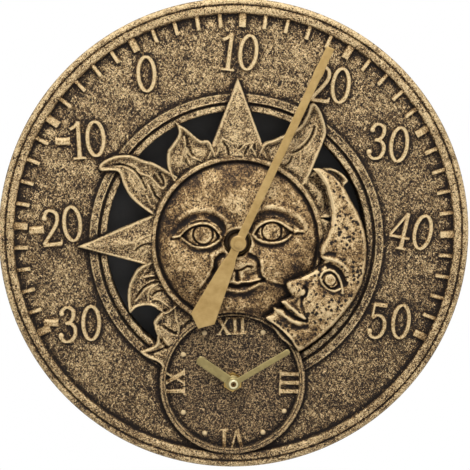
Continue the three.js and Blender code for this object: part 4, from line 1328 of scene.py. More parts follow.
# Outlines are shares of SUN_REACH from the sun's centre. Carving lines are a rise, a width and a path,
# in millimetres from it.
UPPER_LEFT = (
    (-0.42, 0.12), (-0.535, 0.18), (-0.64, 0.265), (-0.69, 0.345), (-0.72, 0.425), (-0.765, 0.438),
    (-0.825, 0.438), (-0.84, 0.462), (-0.825, 0.487), (-0.77, 0.518), (-0.714, 0.533), (-0.64, 0.53),
    (-0.566, 0.5), (-0.5, 0.48), (-0.36, 0.4),
)
TOP_LEFT = (
    (-0.38, 0.35), (-0.425, 0.46), (-0.424, 0.55), (-0.406, 0.58), (-0.36, 0.65), (-0.363, 0.703),
    (-0.378, 0.735), (-0.345, 0.712), (-0.313, 0.694), (-0.227, 0.623), (-0.165, 0.61), (-0.1, 0.45),
)
TOP_RIGHT = (
    (0.1, 0.45), (0.155, 0.592), (0.236, 0.629), (0.371, 0.697), (0.42, 0.764), (0.457, 0.845),
    (0.505, 0.805), (0.544, 0.684), (0.525, 0.604), (0.488, 0.512), (0.43, 0.38), (0.36, 0.3),
)
UPPER_RIGHT = (
    (0.36, 0.32), (0.45, 0.41), (0.544, 0.45), (0.62, 0.432), (0.679, 0.374), (0.652, 0.335),
    (0.65, 0.25), (0.64, 0.16), (0.45, 0.14),
)
LOWER_LEFT = (
    (-0.45, -0.08), (-0.591, -0.148), (-0.64, -0.21), (-0.667, -0.28), (-0.671, -0.364), (-0.658, -0.432),
    (-0.615, -0.4), (-0.554, -0.388), (-0.504, -0.401), (-0.43, -0.44), (-0.36, -0.38),
)
BOTTOM_LEFT = (
    (-0.36, -0.33), (-0.498, -0.469), (-0.51, -0.518), (-0.492, -0.58), (-0.498, -0.625), (-0.535, -0.65),
    (-0.595, -0.672), (-0.554, -0.709), (-0.486, -0.74), (-0.4, -0.8), (-0.25, -0.6), (-0.25, -0.4),
)
TOP_RAY = ((0.004, 1), (0.21, 0.45), (-0.21, 0.45))
LEFT_RAY = ((-0.975, -0.025), (-0.44, 0.2), (-0.44, -0.17))
RIGHT_RAY = ((0.76, 0.02), (0.45, 0.18), (0.45, -0.2), (0.74, -0.12))
CRESCENT_OUTSIDE = (
    (0.457, 0.45), (0.52, 0.449), (0.587, 0.419), (0.642, 0.355), (0.687, 0.27), (0.735, 0.185),
    (0.773, 0.09), (0.793, -0.02), (0.791, -0.135), (0.768, -0.25), (0.72, -0.35), (0.655, -0.44),
    (0.58, -0.525), (0.48, -0.612), (0.38, -0.68),
)
CRESCENT_PROFILE = (
    (0.27, -0.6), (0.168, -0.46), (0.211, -0.438), (0.223, -0.42), (0.217, -0.402), (0.285, -0.405),
    (0.283, -0.385), (0.26, -0.36), (0.316, -0.34), (0.33, -0.33), (0.31, -0.3), (0.297, -0.27),
    (0.297, -0.247), (0.309, -0.234), (0.38, -0.215), (0.46, -0.18), (0.51, -0.14), (0.531, -0.111),
    (0.505, -0.09), (0.501, -0.05), (0.51, -0.02), (0.544, 0.037), (0.568, 0.099), (0.575, 0.18),
    (0.562, 0.253), (0.538, 0.339), (0.501, 0.401),
)
FACE_CARVING = (
    (1.5, 0.85, ((-40.3, 3.5), (-36.4, 4.7), (-32.6, 8.3), (-28.7, 10.9), (-24.2, 12.4), (-19.1, 12.2),
        (-15.3, 10.1), (-12.7, 7.2), (-10.8, 3.7))),
    (1.1, 0.75, ((-37.7, 6.6), (-33.2, 10.3), (-29.4, 13.1), (-25.5, 14.6), (-19.7, 14.6), (-15.9, 12.8),
        (-12.7, 10.1), (-10.8, 7.2))),
    (-1.3, 0.5, ((-35.4, 4), (-33.2, 6.9), (-29.4, 9.5), (-25.5, 10.6), (-21.7, 10.9), (-17.8, 10.1),
        (-14.6, 7.9), (-11.7, 4))),
    (-0.6, 2.0, ((-40.3, 7.2), (-35.1, 12.1), (-30.6, 15.6), (-26.2, 17.6), (-21, 17.9), (-15.9, 16.3),
        (-12.1, 13.7), (-9.5, 9.5))),
    (1.1, 1.9, ((-36.4, 15.6), (-29.4, 19.7), (-21, 21), (-14.6, 19.7), (-9.5, 15.9), (-6.3, 10.4))),
    (1.4, 0.85, ((-35.8, 3.4), (-33.2, 1.2), (-29.4, -1.4), (-24.9, -3), (-19.7, -2.9), (-15.3, -1),
        (-12.1, 1.5), (-10.4, 3.7))),
    (-0.9, 0.45, ((-34.5, 3.4), (-30.6, 0.3), (-26.2, -1.5), (-21.7, -1.6), (-16.5, 0), (-12.1, 2.8))),
    (-0.35, 0.8, ((-30.6, -4), (-24.9, -5.3), (-19.1, -4.9), (-14.6, -3), (-11.4, -0.4))),
    (-0.8, 1.2, ((-17.8, -5.9), (-14, -4.3), (-10.8, -1.7))),
    (1.5, 0.85, ((9.4, 5.3), (12.3, 9.8), (16.2, 12.5), (20.6, 13.9), (25.1, 13.5), (29.6, 11.3),
        (33.5, 8.5), (37.3, 7.1), (41.8, 6.7))),
    (1.0, 0.75, ((18.1, 15.6), (23.8, 16.3), (29, 14.3), (33.5, 11.2), (38.6, 8.2))),
    (-1.3, 0.5, ((11, 5.6), (13.6, 9.3), (16.8, 11.5), (20.6, 12.6), (24.5, 12.4), (28.3, 10.3), (32.2, 7.6),
        (35.4, 5.6))),
    (-0.55, 2.0, ((8.1, 8.5), (10.1, 13.3), (13.6, 17), (17.4, 18.5), (23.8, 18.8), (29, 17.2), (33.5, 14.6),
        (37.9, 11.4), (41.8, 7.9))),
    (1.1, 1.9, ((8.5, 17.8), (14.9, 21.7), (22.6, 22.3), (30.3, 20.7), (36.7, 17.8), (41.8, 13.3),
        (44.4, 8.5))),
    (1.4, 0.85, ((9.7, 4.7), (12.9, 1.9), (17.4, 0.3), (22.6, -0.2), (27.7, 0.6), (31.5, 2.4), (34.1, 4.7),
        (36.7, 6.1))),
    (-0.9, 0.45, ((12.3, 3.4), (17.4, 1.6), (22.6, 1.1), (27.7, 2.1), (32.2, 4.7))),
    (-0.3, 0.7, ((11.7, 0.2), (16.8, -2.1), (23.2, -2.7), (29.6, -1.4))),
    (-0.9, 0.6, ((34.7, 5), (37.9, 5.4), (41.8, 5.6))),
    (-0.9, 0.6, ((-42.2, 2.1), (-39.6, 2.4), (-36.4, 3.1))),
    (-2.1, 1.15, ((6.5, -6.9), (8.8, -8.7), (11, -9.7), (12.8, -12.3), (13.3, -15.2))),
    (-1.5, 1.2, ((13.5, -15.2), (13.3, -18.4), (14.6, -21.6), (16.5, -23.5))),
    (-0.7, 1.3, ((16.5, -23.7), (19.4, -25.4), (23.8, -26.9), (29, -28.7), (32.2, -31.9))),
    (0.8, 1.2, ((15.2, -12.6), (15.4, -17.8), (16.8, -21.9), (20, -24.3), (24.5, -25.4), (29.6, -26.9))),
    (-2.2, 1.2, ((-9.5, -7.8), (-12.4, -9.7), (-14, -12.6), (-13.8, -15.8), (-15.3, -19))),
    (-1.3, 2.8, ((-15.3, -19), (-17.8, -23.2), (-20.7, -27.4), (-24.2, -31.9), (-27.4, -37))),
    (0.9, 0.9, ((-16.2, -8.1), (-16, -13.9), (-17.5, -18.7), (-20.4, -23.5), (-23.6, -28))),
    (-1.7, 0.65, ((-5, -17.2), (-1.8, -17.6), (2.1, -17.2), (4, -16), (5.9, -14.9), (9.1, -15.4))),
    (-2.0, 0.9, ((-0.4, -18.7), (-0.3, -23.4))),
    (0.8, 0.8, ((-2.8, -18.7), (-2.6, -23.2))),
    (0.9, 1.0, ((2.7, -18.7), (2.2, -23.5))),
    (-0.7, 1.4, ((5.3, -19), (7.8, -20.6), (11, -19))),
    (1.4, 0.75, ((-7.6, -25.8), (-4.4, -24.6), (-2.1, -24.7), (0.1, -25.6), (2.4, -24.8), (7.8, -24.7),
        (12.3, -23.9), (15.8, -23.1))),
    (-2.2, 1.0, ((-7.9, -26.7), (-4.4, -27.1), (-0.5, -28), (3.3, -27.1), (7.8, -26.6), (12.3, -25.3),
        (16.2, -24))),
    (1.7, 1.2, ((-7.6, -29.3), (-3.1, -30.6), (2.1, -31.1), (6.5, -30.2), (10.4, -28), (13.3, -26))),
    (-0.4, 1.5, ((-7.6, -32.9), (-1.8, -34), (5.3, -33.8), (11, -31.2))),
)
MOON_CARVING = (
    (1.2, 0.7, ((52.4, -21.9), (54.3, -19), (57.8, -17.8), (61, -18.4), (63.6, -21), (65.5, -24.8),
        (66.3, -28.7), (66.8, -32.5))),
    (-1.3, 0.45, ((53.3, -22.6), (55.3, -20.1), (58.5, -19), (61, -20.3), (63.3, -23.5), (64.2, -26.7))),
    (1.2, 0.7, ((52.7, -23.5), (54.3, -27.1), (57.8, -29.9), (61.7, -31.1), (65.2, -29.8))),
    (-1.1, 0.45, ((54, -24.8), (56.5, -28.1), (60.4, -29.5), (63.6, -27.8))),
    (-1.9, 1.3, ((52, -16.8), (55.3, -14.2), (59.1, -15.1), (62.9, -17.1), (66.5, -21.3), (68.4, -26.7))),
    (1.1, 1.3, ((54, -10.1), (59.1, -10.7), (65.5, -13.3), (70, -18.4))),
    (0.9, 1.2, ((55.3, -12.3), (50.8, -15.5), (45.6, -19), (39.2, -22.1), (33.5, -23.5))),
    (-1.7, 0.8, ((42.1, -28), (43.7, -30.6), (42.8, -33.5), (40.5, -35.1))),
    (-0.6, 0.9, ((40.8, -35.7), (40.4, -38.9), (41.8, -44), (44, -49.2))),
    (1.5, 1.1, ((27.1, -37.6), (30.6, -38.9), (34.7, -42.1), (38.6, -45.6), (42.4, -48.5))),
    (-2.0, 0.8, ((27.7, -40.4), (31.5, -44), (35.4, -47.1), (39.9, -49.2), (43.7, -50.2))),
    (1.5, 1.2, ((25.8, -42.8), (29.6, -46.5), (34.1, -49.8), (39.2, -51.7))),
    (-0.9, 1.5, ((35, -54), (39.5, -54.6), (44, -54))),
    (-0.5, 1.6, ((47.6, -22.2), (45, -25.4), (44.4, -28.7))),
    (-1.0, 1.3, ((53.3, -8.8), (57.2, -7.2), (61, -7.5))),
)
UPPER_LEFT_CARVING = (
    (-1.4, 0.5, ((-76.9, 49.4), (-72.4, 49.4), (-68.5, 48.2), (-65.3, 46.3), (-62.8, 43.8), (-60.8, 40.6),
        (-59.2, 37.4), (-57.9, 34.5))),
    (0.8, 0.5, ((-77.5, 48.3), (-73, 48.3), (-69.2, 46.9), (-66, 44.8), (-63.7, 42.2), (-61.7, 39.4),
        (-60.2, 36.2), (-58.7, 33.3))),
    (1.0, 0.5, ((-63.1, 44.8), (-58.9, 42.9), (-55.7, 41.8), (-53.1, 39.4), (-50.6, 36.3), (-48, 34.5),
        (-46.1, 34.7), (-45.2, 36.8), (-46.1, 40.6), (-47.8, 43.5))),
    (-1.3, 0.9, ((-52.5, 42.2), (-50.3, 39.4), (-47.8, 36.2), (-47.2, 39.4), (-48.8, 42.9))),
    (-1.3, 0.5, ((-54.7, 36.5), (-53.1, 32.9), (-51.9, 29.7), (-48.7, 26.9))),
    (0.8, 0.5, ((-56, 35.5), (-54.4, 32), (-52.8, 28.1), (-50.3, 25.6))),
    (0.8, 0.5, ((-57.2, 29.7), (-56, 25.6), (-53.8, 22.7), (-51.2, 20.1))),
)
TOP_LEFT_CARVING = (
    (-1.4, 0.5, ((-32.4, 67.2), (-31.5, 64.4), (-31.7, 60.5))),
    (0.8, 0.5, ((-33.7, 66.9), (-33, 63.7), (-32.8, 60.8))),
    (1.1, 0.5, ((-35.5, 50.3), (-34.8, 54.1), (-33.8, 58.3), (-32.4, 60), (-31, 57.9), (-29.8, 55.2),
        (-27.2, 53.3), (-24.3, 52.2), (-21.7, 50.6))),
    (-1.2, 0.8, ((-29.9, 59.9), (-29.6, 57.6), (-28.1, 55.2))),
    (1.0, 1.3, ((-32.3, 58.6), (-32.6, 54.7))),
    (-1.0, 0.45, ((-32.9, 51.9), (-31, 49))),
)
TOP_RIGHT_CARVING = (
    (-1.5, 0.5, ((49, 72.7), (47.8, 68.8), (45.6, 64.4), (42.4, 60.5), (38.8, 57.9), (35.3, 56.5))),
    (0.8, 0.5, ((47.6, 72), (46.2, 68.5), (44, 65), (40.9, 61.8), (37.2, 59.2))),
    (0.8, 0.5, ((50.3, 70.8), (49, 66.9), (46.9, 63.1), (43.4, 59.2))),
    (1.0, 0.5, ((31.5, 55.5), (36, 55.8), (39.5, 57.4), (40.3, 55.4), (39.7, 49))),
    (-1.3, 0.5, ((34.9, 53.8), (33.4, 50.9), (30.8, 48.3))),
)
UPPER_RIGHT_CARVING = (
    (0.9, 0.5, ((37.9, 43.2), (44.3, 43.1), (44.4, 39.4), (43.7, 34.9))),
    (-1.2, 0.5, ((43, 41.7), (40.8, 39))),
    (0.9, 0.5, ((45.9, 32.3), (50.1, 32.3), (53.6, 29.7), (52, 25.9), (50.4, 22.1))),
    (-1.2, 0.5, ((50.9, 29.1), (48, 26.2))),
    (-2.4, 2.4, ((46.8, 41.5), (50.5, 37.2), (55.6, 32.6), (57.4, 27), (57.2, 21.5))),
)
LOWER_LEFT_CARVING = (
    (0.9, 0.5, ((-55.4, -13.2), (-57.4, -16.8), (-59.5, -19.8), (-59.9, -22.2), (-57, -21.7),
        (-53.1, -21.3))),
    (-1.1, 0.45, ((-53.5, -17.2), (-57, -19.7))),
    (-1.7, 1.1, ((-57.3, -24.1), (-53.8, -22.8), (-49.3, -23.5))),
    (-1.5, 0.6, ((-50.3, -25), (-55.4, -26.3), (-59.3, -28.7), (-62, -31.8), (-64, -34.7))),
    (0.9, 0.5, ((-53.5, -27.1), (-57.1, -29.1), (-60.6, -32.2), (-63.1, -35.3), (-64.7, -37.6))),
    (1.0, 0.5, ((-50.3, -26.3), (-54.1, -28.7), (-56.2, -31.2), (-56.8, -34.4), (-56.2, -37.8),
        (-52.8, -36.3), (-49.3, -37), (-46.1, -39.5), (-42.6, -41.7))),
    (-1.4, 0.5, ((-46.7, -30.8), (-49.9, -31.2), (-52.5, -32.4), (-54, -34))),
    (0.8, 0.5, ((-40.3, -39.5), (-39.7, -44.6), (-39, -49.1), (-37.8, -54.2))),
)
BOTTOM_LEFT_CARVING = (
    (1.1, 0.6, ((-50.4, -53.3), (-46.1, -56), (-42.2, -58.7), (-37.8, -60))),
    (1.1, 0.6, ((-50.4, -53.6), (-49.6, -56.8), (-48, -60), (-45.4, -63.8), (-42.9, -67))),
    (1.3, 2.6, ((-48, -56.8), (-44.8, -60.6), (-42.9, -63.2))),
    (-1.6, 0.7, ((-51.3, -56.8), (-50.1, -60.6), (-47.8, -64.5), (-44.8, -67.7))),
    (-1.5, 0.7, ((-42.9, -66.7), (-47.4, -68.3), (-51.2, -69.9), (-55.1, -70.9))),
    (1.0, 0.5, ((-40.3, -37.6), (-39.5, -44), (-39, -49.1), (-37.4, -53.6), (-37.4, -57.4), (-38.7, -59.4))),
    (-1.5, 0.8, ((-46.7, -54.2), (-42.9, -56.8), (-38.7, -59))),
    (-1.2, 0.8, ((-29.4, -50.4), (-32.6, -52.6), (-35.8, -55.2))),
)
TOP_RAY_CARVING = (
    (0.9, 0.5, ((-13.4, 55.4), (-11.5, 59.9), (-10.3, 63.7), (-9.8, 65.9), (-7, 64.7), (-3.8, 63.1),
        (-1.2, 60.5), (0.7, 58.3))),
    (-1.5, 0.5, ((-8.7, 63.4), (-6.6, 60.5), (-5.4, 55.7))),
    (-1.3, 0.7, ((-1.7, 61), (0.4, 59.5), (2.5, 61))),
    (0.9, 0.5, ((0.9, 58.3), (3.9, 61.3), (6.8, 62.6), (10.1, 62.7), (8.8, 60.5), (10.3, 57.9),
        (11.9, 54.4))),
    (-1.5, 0.5, ((6.9, 60.5), (5.4, 57.9), (4.2, 55.4))),
    (-1.4, 0.7, ((10.7, 61.8), (10.8, 59.2))),
)
LEFT_RAY_CARVING = (
    (0.8, 0.5, ((-53.8, 5.4), (-58.3, 4), (-62.1, 2), (-64, -0.1), (-65.2, -4.2))),
    (-1.3, 0.5, ((-55.1, -0.4), (-59.5, -1.2), (-62.1, -2.6), (-64.7, -4.7))),
    (0.7, 0.5, ((-55.1, -6.8), (-56.7, -4.6), (-58.3, -5.8), (-60.2, -8.1))),
)
LEFT_SEAM = ((-48.4, -43.7), (-43, -40), (-36, -34))
FLAMES = {
    "ray_upper_left": Flame(UPPER_LEFT, UPPER_LEFT_CARVING),
    "ray_top_left": Flame(TOP_LEFT, TOP_LEFT_CARVING),
    "ray_top_right": Flame(TOP_RIGHT, TOP_RIGHT_CARVING),
    "ray_upper_right": Flame(UPPER_RIGHT, UPPER_RIGHT_CARVING),
    "ray_lower_left": Flame(LOWER_LEFT, LOWER_LEFT_CARVING, LEFT_SEAM),
    "ray_bottom_left": Flame(BOTTOM_LEFT, BOTTOM_LEFT_CARVING, LEFT_SEAM),
}


def carved(x: Array, y: Array, lines: Lines, bulges: Bulges = ()) -> Array:
    """Height of raised and sunken lines, and of soft round bulges.

    Args:
        x: Points across.
        y: Points up.
        lines: Rise, width and path of each line, the rise negative where it is sunken.
        bulges: Place, half sizes and rise of each bulge.

    Returns:
        Their height at each point.
    """
    total = 0.0 * x
    for place, spread, rise in bulges:
        total += rise * swell(x, y, place, spread)
    for rise, width, path in lines:
        line = spline(path, 4)
        low, high = line.min(axis=0) - 3.2 * width, line.max(axis=0) + 3.2 * width
        near = (x > low[0]) & (x < high[0]) & (y > low[1]) & (y < high[1])
        total[near] += rise * crest(distance_to(x[near], y[near], line), width)
    return total


@dataclass
class Sun:
    """The sun casting: rays, ring and relief face."""

    ring_outer: float = 55.2
    ring_inner: float = 51.2
    ring_front: float = 27.0
    plate_front: float = 24.0
    back: float = 19.0
    window_edge: float = 82.8
    dial_front: float = 20.6
    ray_front: float = 25.6
    ridge_front: float = 27.6
    ridge_edge: float = 24.4
    dome: float = 5.4
    highest: float = 33.8
    hub_hole: float = 8.35
    under_moon_front: float = 25.3
    small_room: float = 45.2
    small_front: float = 19.6
    post_reach: float = 41.0
    pitch: float = 0.44
    eyes: tuple[tuple[Pair, Path, Path], ...] = (
        ((-22.0, 5.3), FACE_CARVING[2][2], FACE_CARVING[6][2]),
        ((21.6, 6.9), FACE_CARVING[11][2], FACE_CARVING[15][2]),
    )
    bulges: Bulges = (
        ((-2, 30), (27, 13), 1.4), ((-29, -16), (12, 14), 3.1), ((27, -15), (12, 11), 3.2),
        ((2, 12), (5.5, 12), 1.7), ((2.6, -3), (5.5, 9), 1.5), ((3.2, -13.2), (7.4, 5.0), 3.0),
        ((-7.6, -13.4), (4.4, 4.2), 1.9), ((10.2, -13.2), (3.8, 3.6), 1.6), ((2, -25), (13, 8), 1.5),
        ((2, -41), (11, 5), 2.2),
    )

    def moon_loop(self) -> Array:
        """Outline of the moon, on the dial."""
        outside = spline(CRESCENT_OUTSIDE, 6)
        return SUN_CENTRE + np.vstack([outside, CRESCENT_PROFILE]) * SUN_REACH

    def under_moon(self, x: Array, y: Array, h: Array) -> Array:
        """Keeps a height below the moon and inside the small dial's clearance.

        Args:
            x: Points across the dial.
            y: Points up the dial.
            h: Height at each point.

        Returns:
            The height that is left.
        """
        moon = np.where(inside(x, y, [self.moon_loop()]), self.under_moon_front, BELOW_ALL)
        small = np.where(away(x, y, SMALL_CENTRE) < self.small_room, self.small_front, BELOW_ALL)
        return np.minimum(np.minimum(h, moon), small)

    def _under_ring(self, u: Array, v: Array) -> Array:
        """Height that the ring and the face leave for a ray that runs under them."""
        depth = self.ring_outer - 0.3 - np.hypot(u, v)
        return np.where(depth > 0, self.ring_front - 0.7 - 5.4 * smooth((depth - 0.7) / 1.5), BELOW_ALL)

    def _ray(self, name: str, outline: Array, relief: Callable[[Array, Array, Array], Array]) -> Piece:
        """One ray, which runs under the ring and rests on the dial past the window.

        Args:
            name: Name of the piece.
            outline: Its outline, from the sun's centre.
            relief: Its height, from u, v and their distance from its outline.

        Returns:
            The ray.
        """

        def front(x: Array, y: Array) -> Array:
            """Height of the ray's front, below what lies over it."""
            u, v = from_sun(x, y)
            h = np.minimum(relief(u, v, distance_to(u, v, outline, True)), self._under_ring(u, v))
            return self.under_moon(x, y, h)

        def foot(x: Array, y: Array) -> Array:
            """Height of the ray's back."""
            return np.where(away(x, y, SUN_CENTRE) < self.window_edge, self.back, self.dial_front)

        loop, borders = outline + SUN_CENTRE, (0.3, 0.65, 1.0)
        return Shell().slab([loop], self.pitch, front, foot, borders).piece(name, 60)

    def flame(self, name: str, flame: Flame) -> Piece:
        """One curled ray with a lip round its hollow and lines along it.

        Args:
            name: Name of the piece.
            flame: Its outline and lines.

        Returns:
            The ray.
        """

        def relief(u: Array, v: Array, edge: Array) -> Array:
            """Height of the flame.

            Args:
                u: Points across from the sun's centre.
                v: Points up from it.
                edge: Their distance from the outline.

            Returns:
                The height at each point.
            """
            if flame.seam:
                edge = edge + 4 * (1 - smooth(distance_to(u, v, np.array(flame.seam)) / 4))
            h = self.ray_front - 0.7 + 0.95 * crest(edge, 0.7, 0.9) - 1.0 * smooth((edge - 1.2) / 2.2)
            return h - 1.2 * (1 - smooth(edge / 0.6)) + carved(u, v, flame.lines)

        return self._ray(name, spline(flame.outline, 8) * SUN_REACH, relief)

    def straight(self, name: str, corners: Path, lines: Lines) -> Piece:
        """One straight ray with a ridge from its tip to the middle of its base.

        Args:
            name: Name of the piece.
            corners: Tip first, then the base, as shares of the reach.
            lines: The leaves' edges and veins on it.

        Returns:
            The ray.
        """
        outline = np.array(corners) * SUN_REACH
        tip, base = outline[0], (outline[1] + outline[2]) / 2
        width, length = np.linalg.norm(outline[1] - outline[2]) / 2, np.linalg.norm(base - tip)
        along = (base - tip) / length

        def relief(u: Array, v: Array, edge: Array) -> Array:
            """Height of the ridge.

            Args:
                u: Points across from the sun's centre.
                v: Points up from it.
                edge: Their distance from the outline.

            Returns:
                The height at each point.
            """
            share = np.clip(((u - tip[0]) * along[0] + (v - tip[1]) * along[1]) / length, 0.02, 1)
            across = np.abs((u - tip[0]) * along[1] - (v - tip[1]) * along[0]) / (width * share)
            crown = self.ridge_edge + (self.ridge_front - self.ridge_edge) * share**0.55 * (1 - across)
            h = crown + 0.55 * crest(edge, 0.6, 0.8) - 0.7 * (1 - smooth(edge / 0.6))
            return np.maximum(h, self.ridge_edge - 0.9) + carved(u, v, lines)

        return self._ray(name, outline, relief)

    def hidden_ray(self) -> Piece:
        """The flat ray that the moon lies over."""
        outline = np.array(RIGHT_RAY) * SUN_REACH
        return self._ray(
            "ray_right", outline, lambda u, v, edge: self.ray_front - 1.2 * (1 - smooth(edge / 0.9)))

    def ring(self) -> Piece:
        """Plain ring round the face.

        Returns:
            The ring.
        """
        inner, outer, front = self.ring_inner, self.ring_outer, self.ring_front
        corners = [
            (inner, self.back), (outer, self.back), (outer, front - 1.2), (outer - 0.7, front),
            (inner + 1.2, front), (inner + 0.7, front - 1.2), (inner, front - 2.2),
        ]
        section = np.array(rounded(corners, 0.7, 4))
        x, y = polar(SUN_CENTRE, section[:, 0], directions(460)[:, None])
        h = self.under_moon(x, y, np.broadcast_to(section[:, 1], x.shape))
        return Shell().lofted(np.stack([x, y, h], axis=-1), True).piece("sun_ring", 60)

    def face_height(self, x: Array, y: Array) -> Array:
        """Height of the face and the lip round its hole.

        Args:
            x: Points across from its centre.
            y: Points up from it.

        Returns:
            The height of each point.
        """
        reach = np.hypot(x, y)
        share = np.minimum(reach / self.ring_inner, 1)
        h = self.dome * np.sqrt(1 - share * share)
        rise = carved(x, y, FACE_CARVING, self.bulges)
        for place, upper, lower in self.eyes:
            u, v = x - place[0], y - place[1]
            rise = rise - 1.9 * swell(u, v, (0, 1), (15, 10))
            rise = rise + 2.6 * np.sqrt(np.maximum(1 - (u / 13.5) ** 2 - (v / 8.6) ** 2, 0))
            opened = inside(x, y, [np.vstack([spline(upper, 5), spline(lower, 5)[::-1]])])
            sight = np.hypot(u, v)
            iris = 0.4 * (1 - smooth((sight - 5.2) / 0.8)) - 1.0 * crest(sight, 0.45, 6.3)
            iris = iris + 0.4 * crest(sight, 0.5, 7.3)
            rise = rise + np.where(opened, iris - 1.5 * smooth((np.abs(u) - 7.5) / 4.5), 0)
        wave = 0.1 * ripple(x, y, (2.3, 3.1, 2.1, 3.7), (1, 1.4))
        h = np.minimum(self.plate_front + h + smooth((1 - share) * 5) * (rise + wave), self.highest)
        hub = reach - self.hub_hole
        return h + 0.5 * crest(hub, 0.9, 1.2) - 0.7 * (1 - smooth(hub / 0.7))

    def face(self) -> Piece:
        """Relief face with the hole of the hub.

        Returns:
            The face.
        """

        def front(x: Array, y: Array) -> Array:
            """Height of the face on the dial."""
            return self.under_moon(x, y, self.face_height(*from_sun(x, y)))

        loops = [circle(SUN_CENTRE, self.ring_inner + 0.3, 460), circle(SUN_CENTRE, self.hub_hole, 90)]
        shell = Shell().slab(loops, self.pitch, front, level(self.back + 0.1), (0.5,))
        return shell.piece("sun_face", 60)

    def posts(self) -> Piece:
        """Posts behind the disc that its screws turn into.

        Returns:
            The posts.
        """
        shell = Shell()
        corners = [(1.7, COVER_SEAT), (4.8, COVER_SEAT), (5, 15), (7, 19.4), (1.7, 19.4)]
        for arc in (-120, 0, 120):
            shell.turned(SUN_CENTRE + heading(arc) * self.post_reach, rounded(corners, 1.2), 32)
        return shell.piece("sun_posts", 50)


@dataclass
class Moon:
    """The crescent moon with its profile."""

    back: float = 25.9
    edge_front: float = 27.0
    dome: float = 6.4
    dome_radius: float = 66.0
    dome_centre: Pair = (20.8, -10.4)
    small_room: float = 46.2
    small_front: float = 26.1
    pitch: float = 0.46
    eye: Pair = (58.8, -23.8)
    bulges: Bulges = (
        ((36.5, -29.5), (5.5, 4.5), 1.5), ((41.2, -32.4), (3.0, 2.6), 1.0), ((53, -42), (9, 8), 1.6),
        ((36, -60), (6, 4.6), 1.4), ((66, -2), (9, 14), 1.0),
    )

    def height(self, x: Array, y: Array, outline: Array) -> Array:
        """Height of the moon.

        Args:
            x: Points across from the sun's centre.
            y: Points up from it.
            outline: The moon's outline.

        Returns:
            The height of each point.
        """
        reach = away(x, y, self.dome_centre) / self.dome_radius
        h = self.edge_front + self.dome * np.sqrt(np.maximum(1 - reach**2, 0))
        rise = -1.9 * (1 - smooth(distance_to(x, y, outline, True) / 1.9))
        rise = rise + carved(x, y, MOON_CARVING, self.bulges)
        rise = rise - 1.6 * swell(x, y, (57.5, -23), (10, 8), -30)
        ball = 1 - ((x - self.eye[0]) / 6.6) ** 2 - ((y - self.eye[1]) / 5.6) ** 2
        rise = rise + 1.7 * np.sqrt(np.maximum(ball, 0))
        sight = away(x, y, self.eye)
        rise = rise + 0.35 * (1 - smooth((sight - 3.1) / 0.6)) - 0.6 * crest(sight, 0.4, 4.0)
        return h + rise + 0.14 * ripple(x, y, (1.7, 2.3, 1.9, 2.9), (1, 1.4))

    def piece(self, loop: Array) -> Piece:
        """The moon inside its outline.

        Args:
            loop: The outline, on the dial.

        Returns:
            The moon.
        """

        def front(x: Array, y: Array) -> Array:
            """Height of the moon's front, low beside the small dial."""
            h = self.height(*from_sun(x, y), loop - SUN_CENTRE)
            return np.where(away(x, y, SMALL_CENTRE) < self.small_room, self.small_front, h)

        return Shell().slab([loop], self.pitch, front, level(self.back), (0.4, 0.9)).piece("moon", 60)


# Patina and painted shade


def points_of(piece: Piece) -> Array:
    """Rows of x, y and z of a piece's points, in world metres."""
    table = np.empty(len(piece.data.vertices) * 3, np.float32)
    piece.data.vertices.foreach_get("co", table)
    return table.reshape(-1, 3)


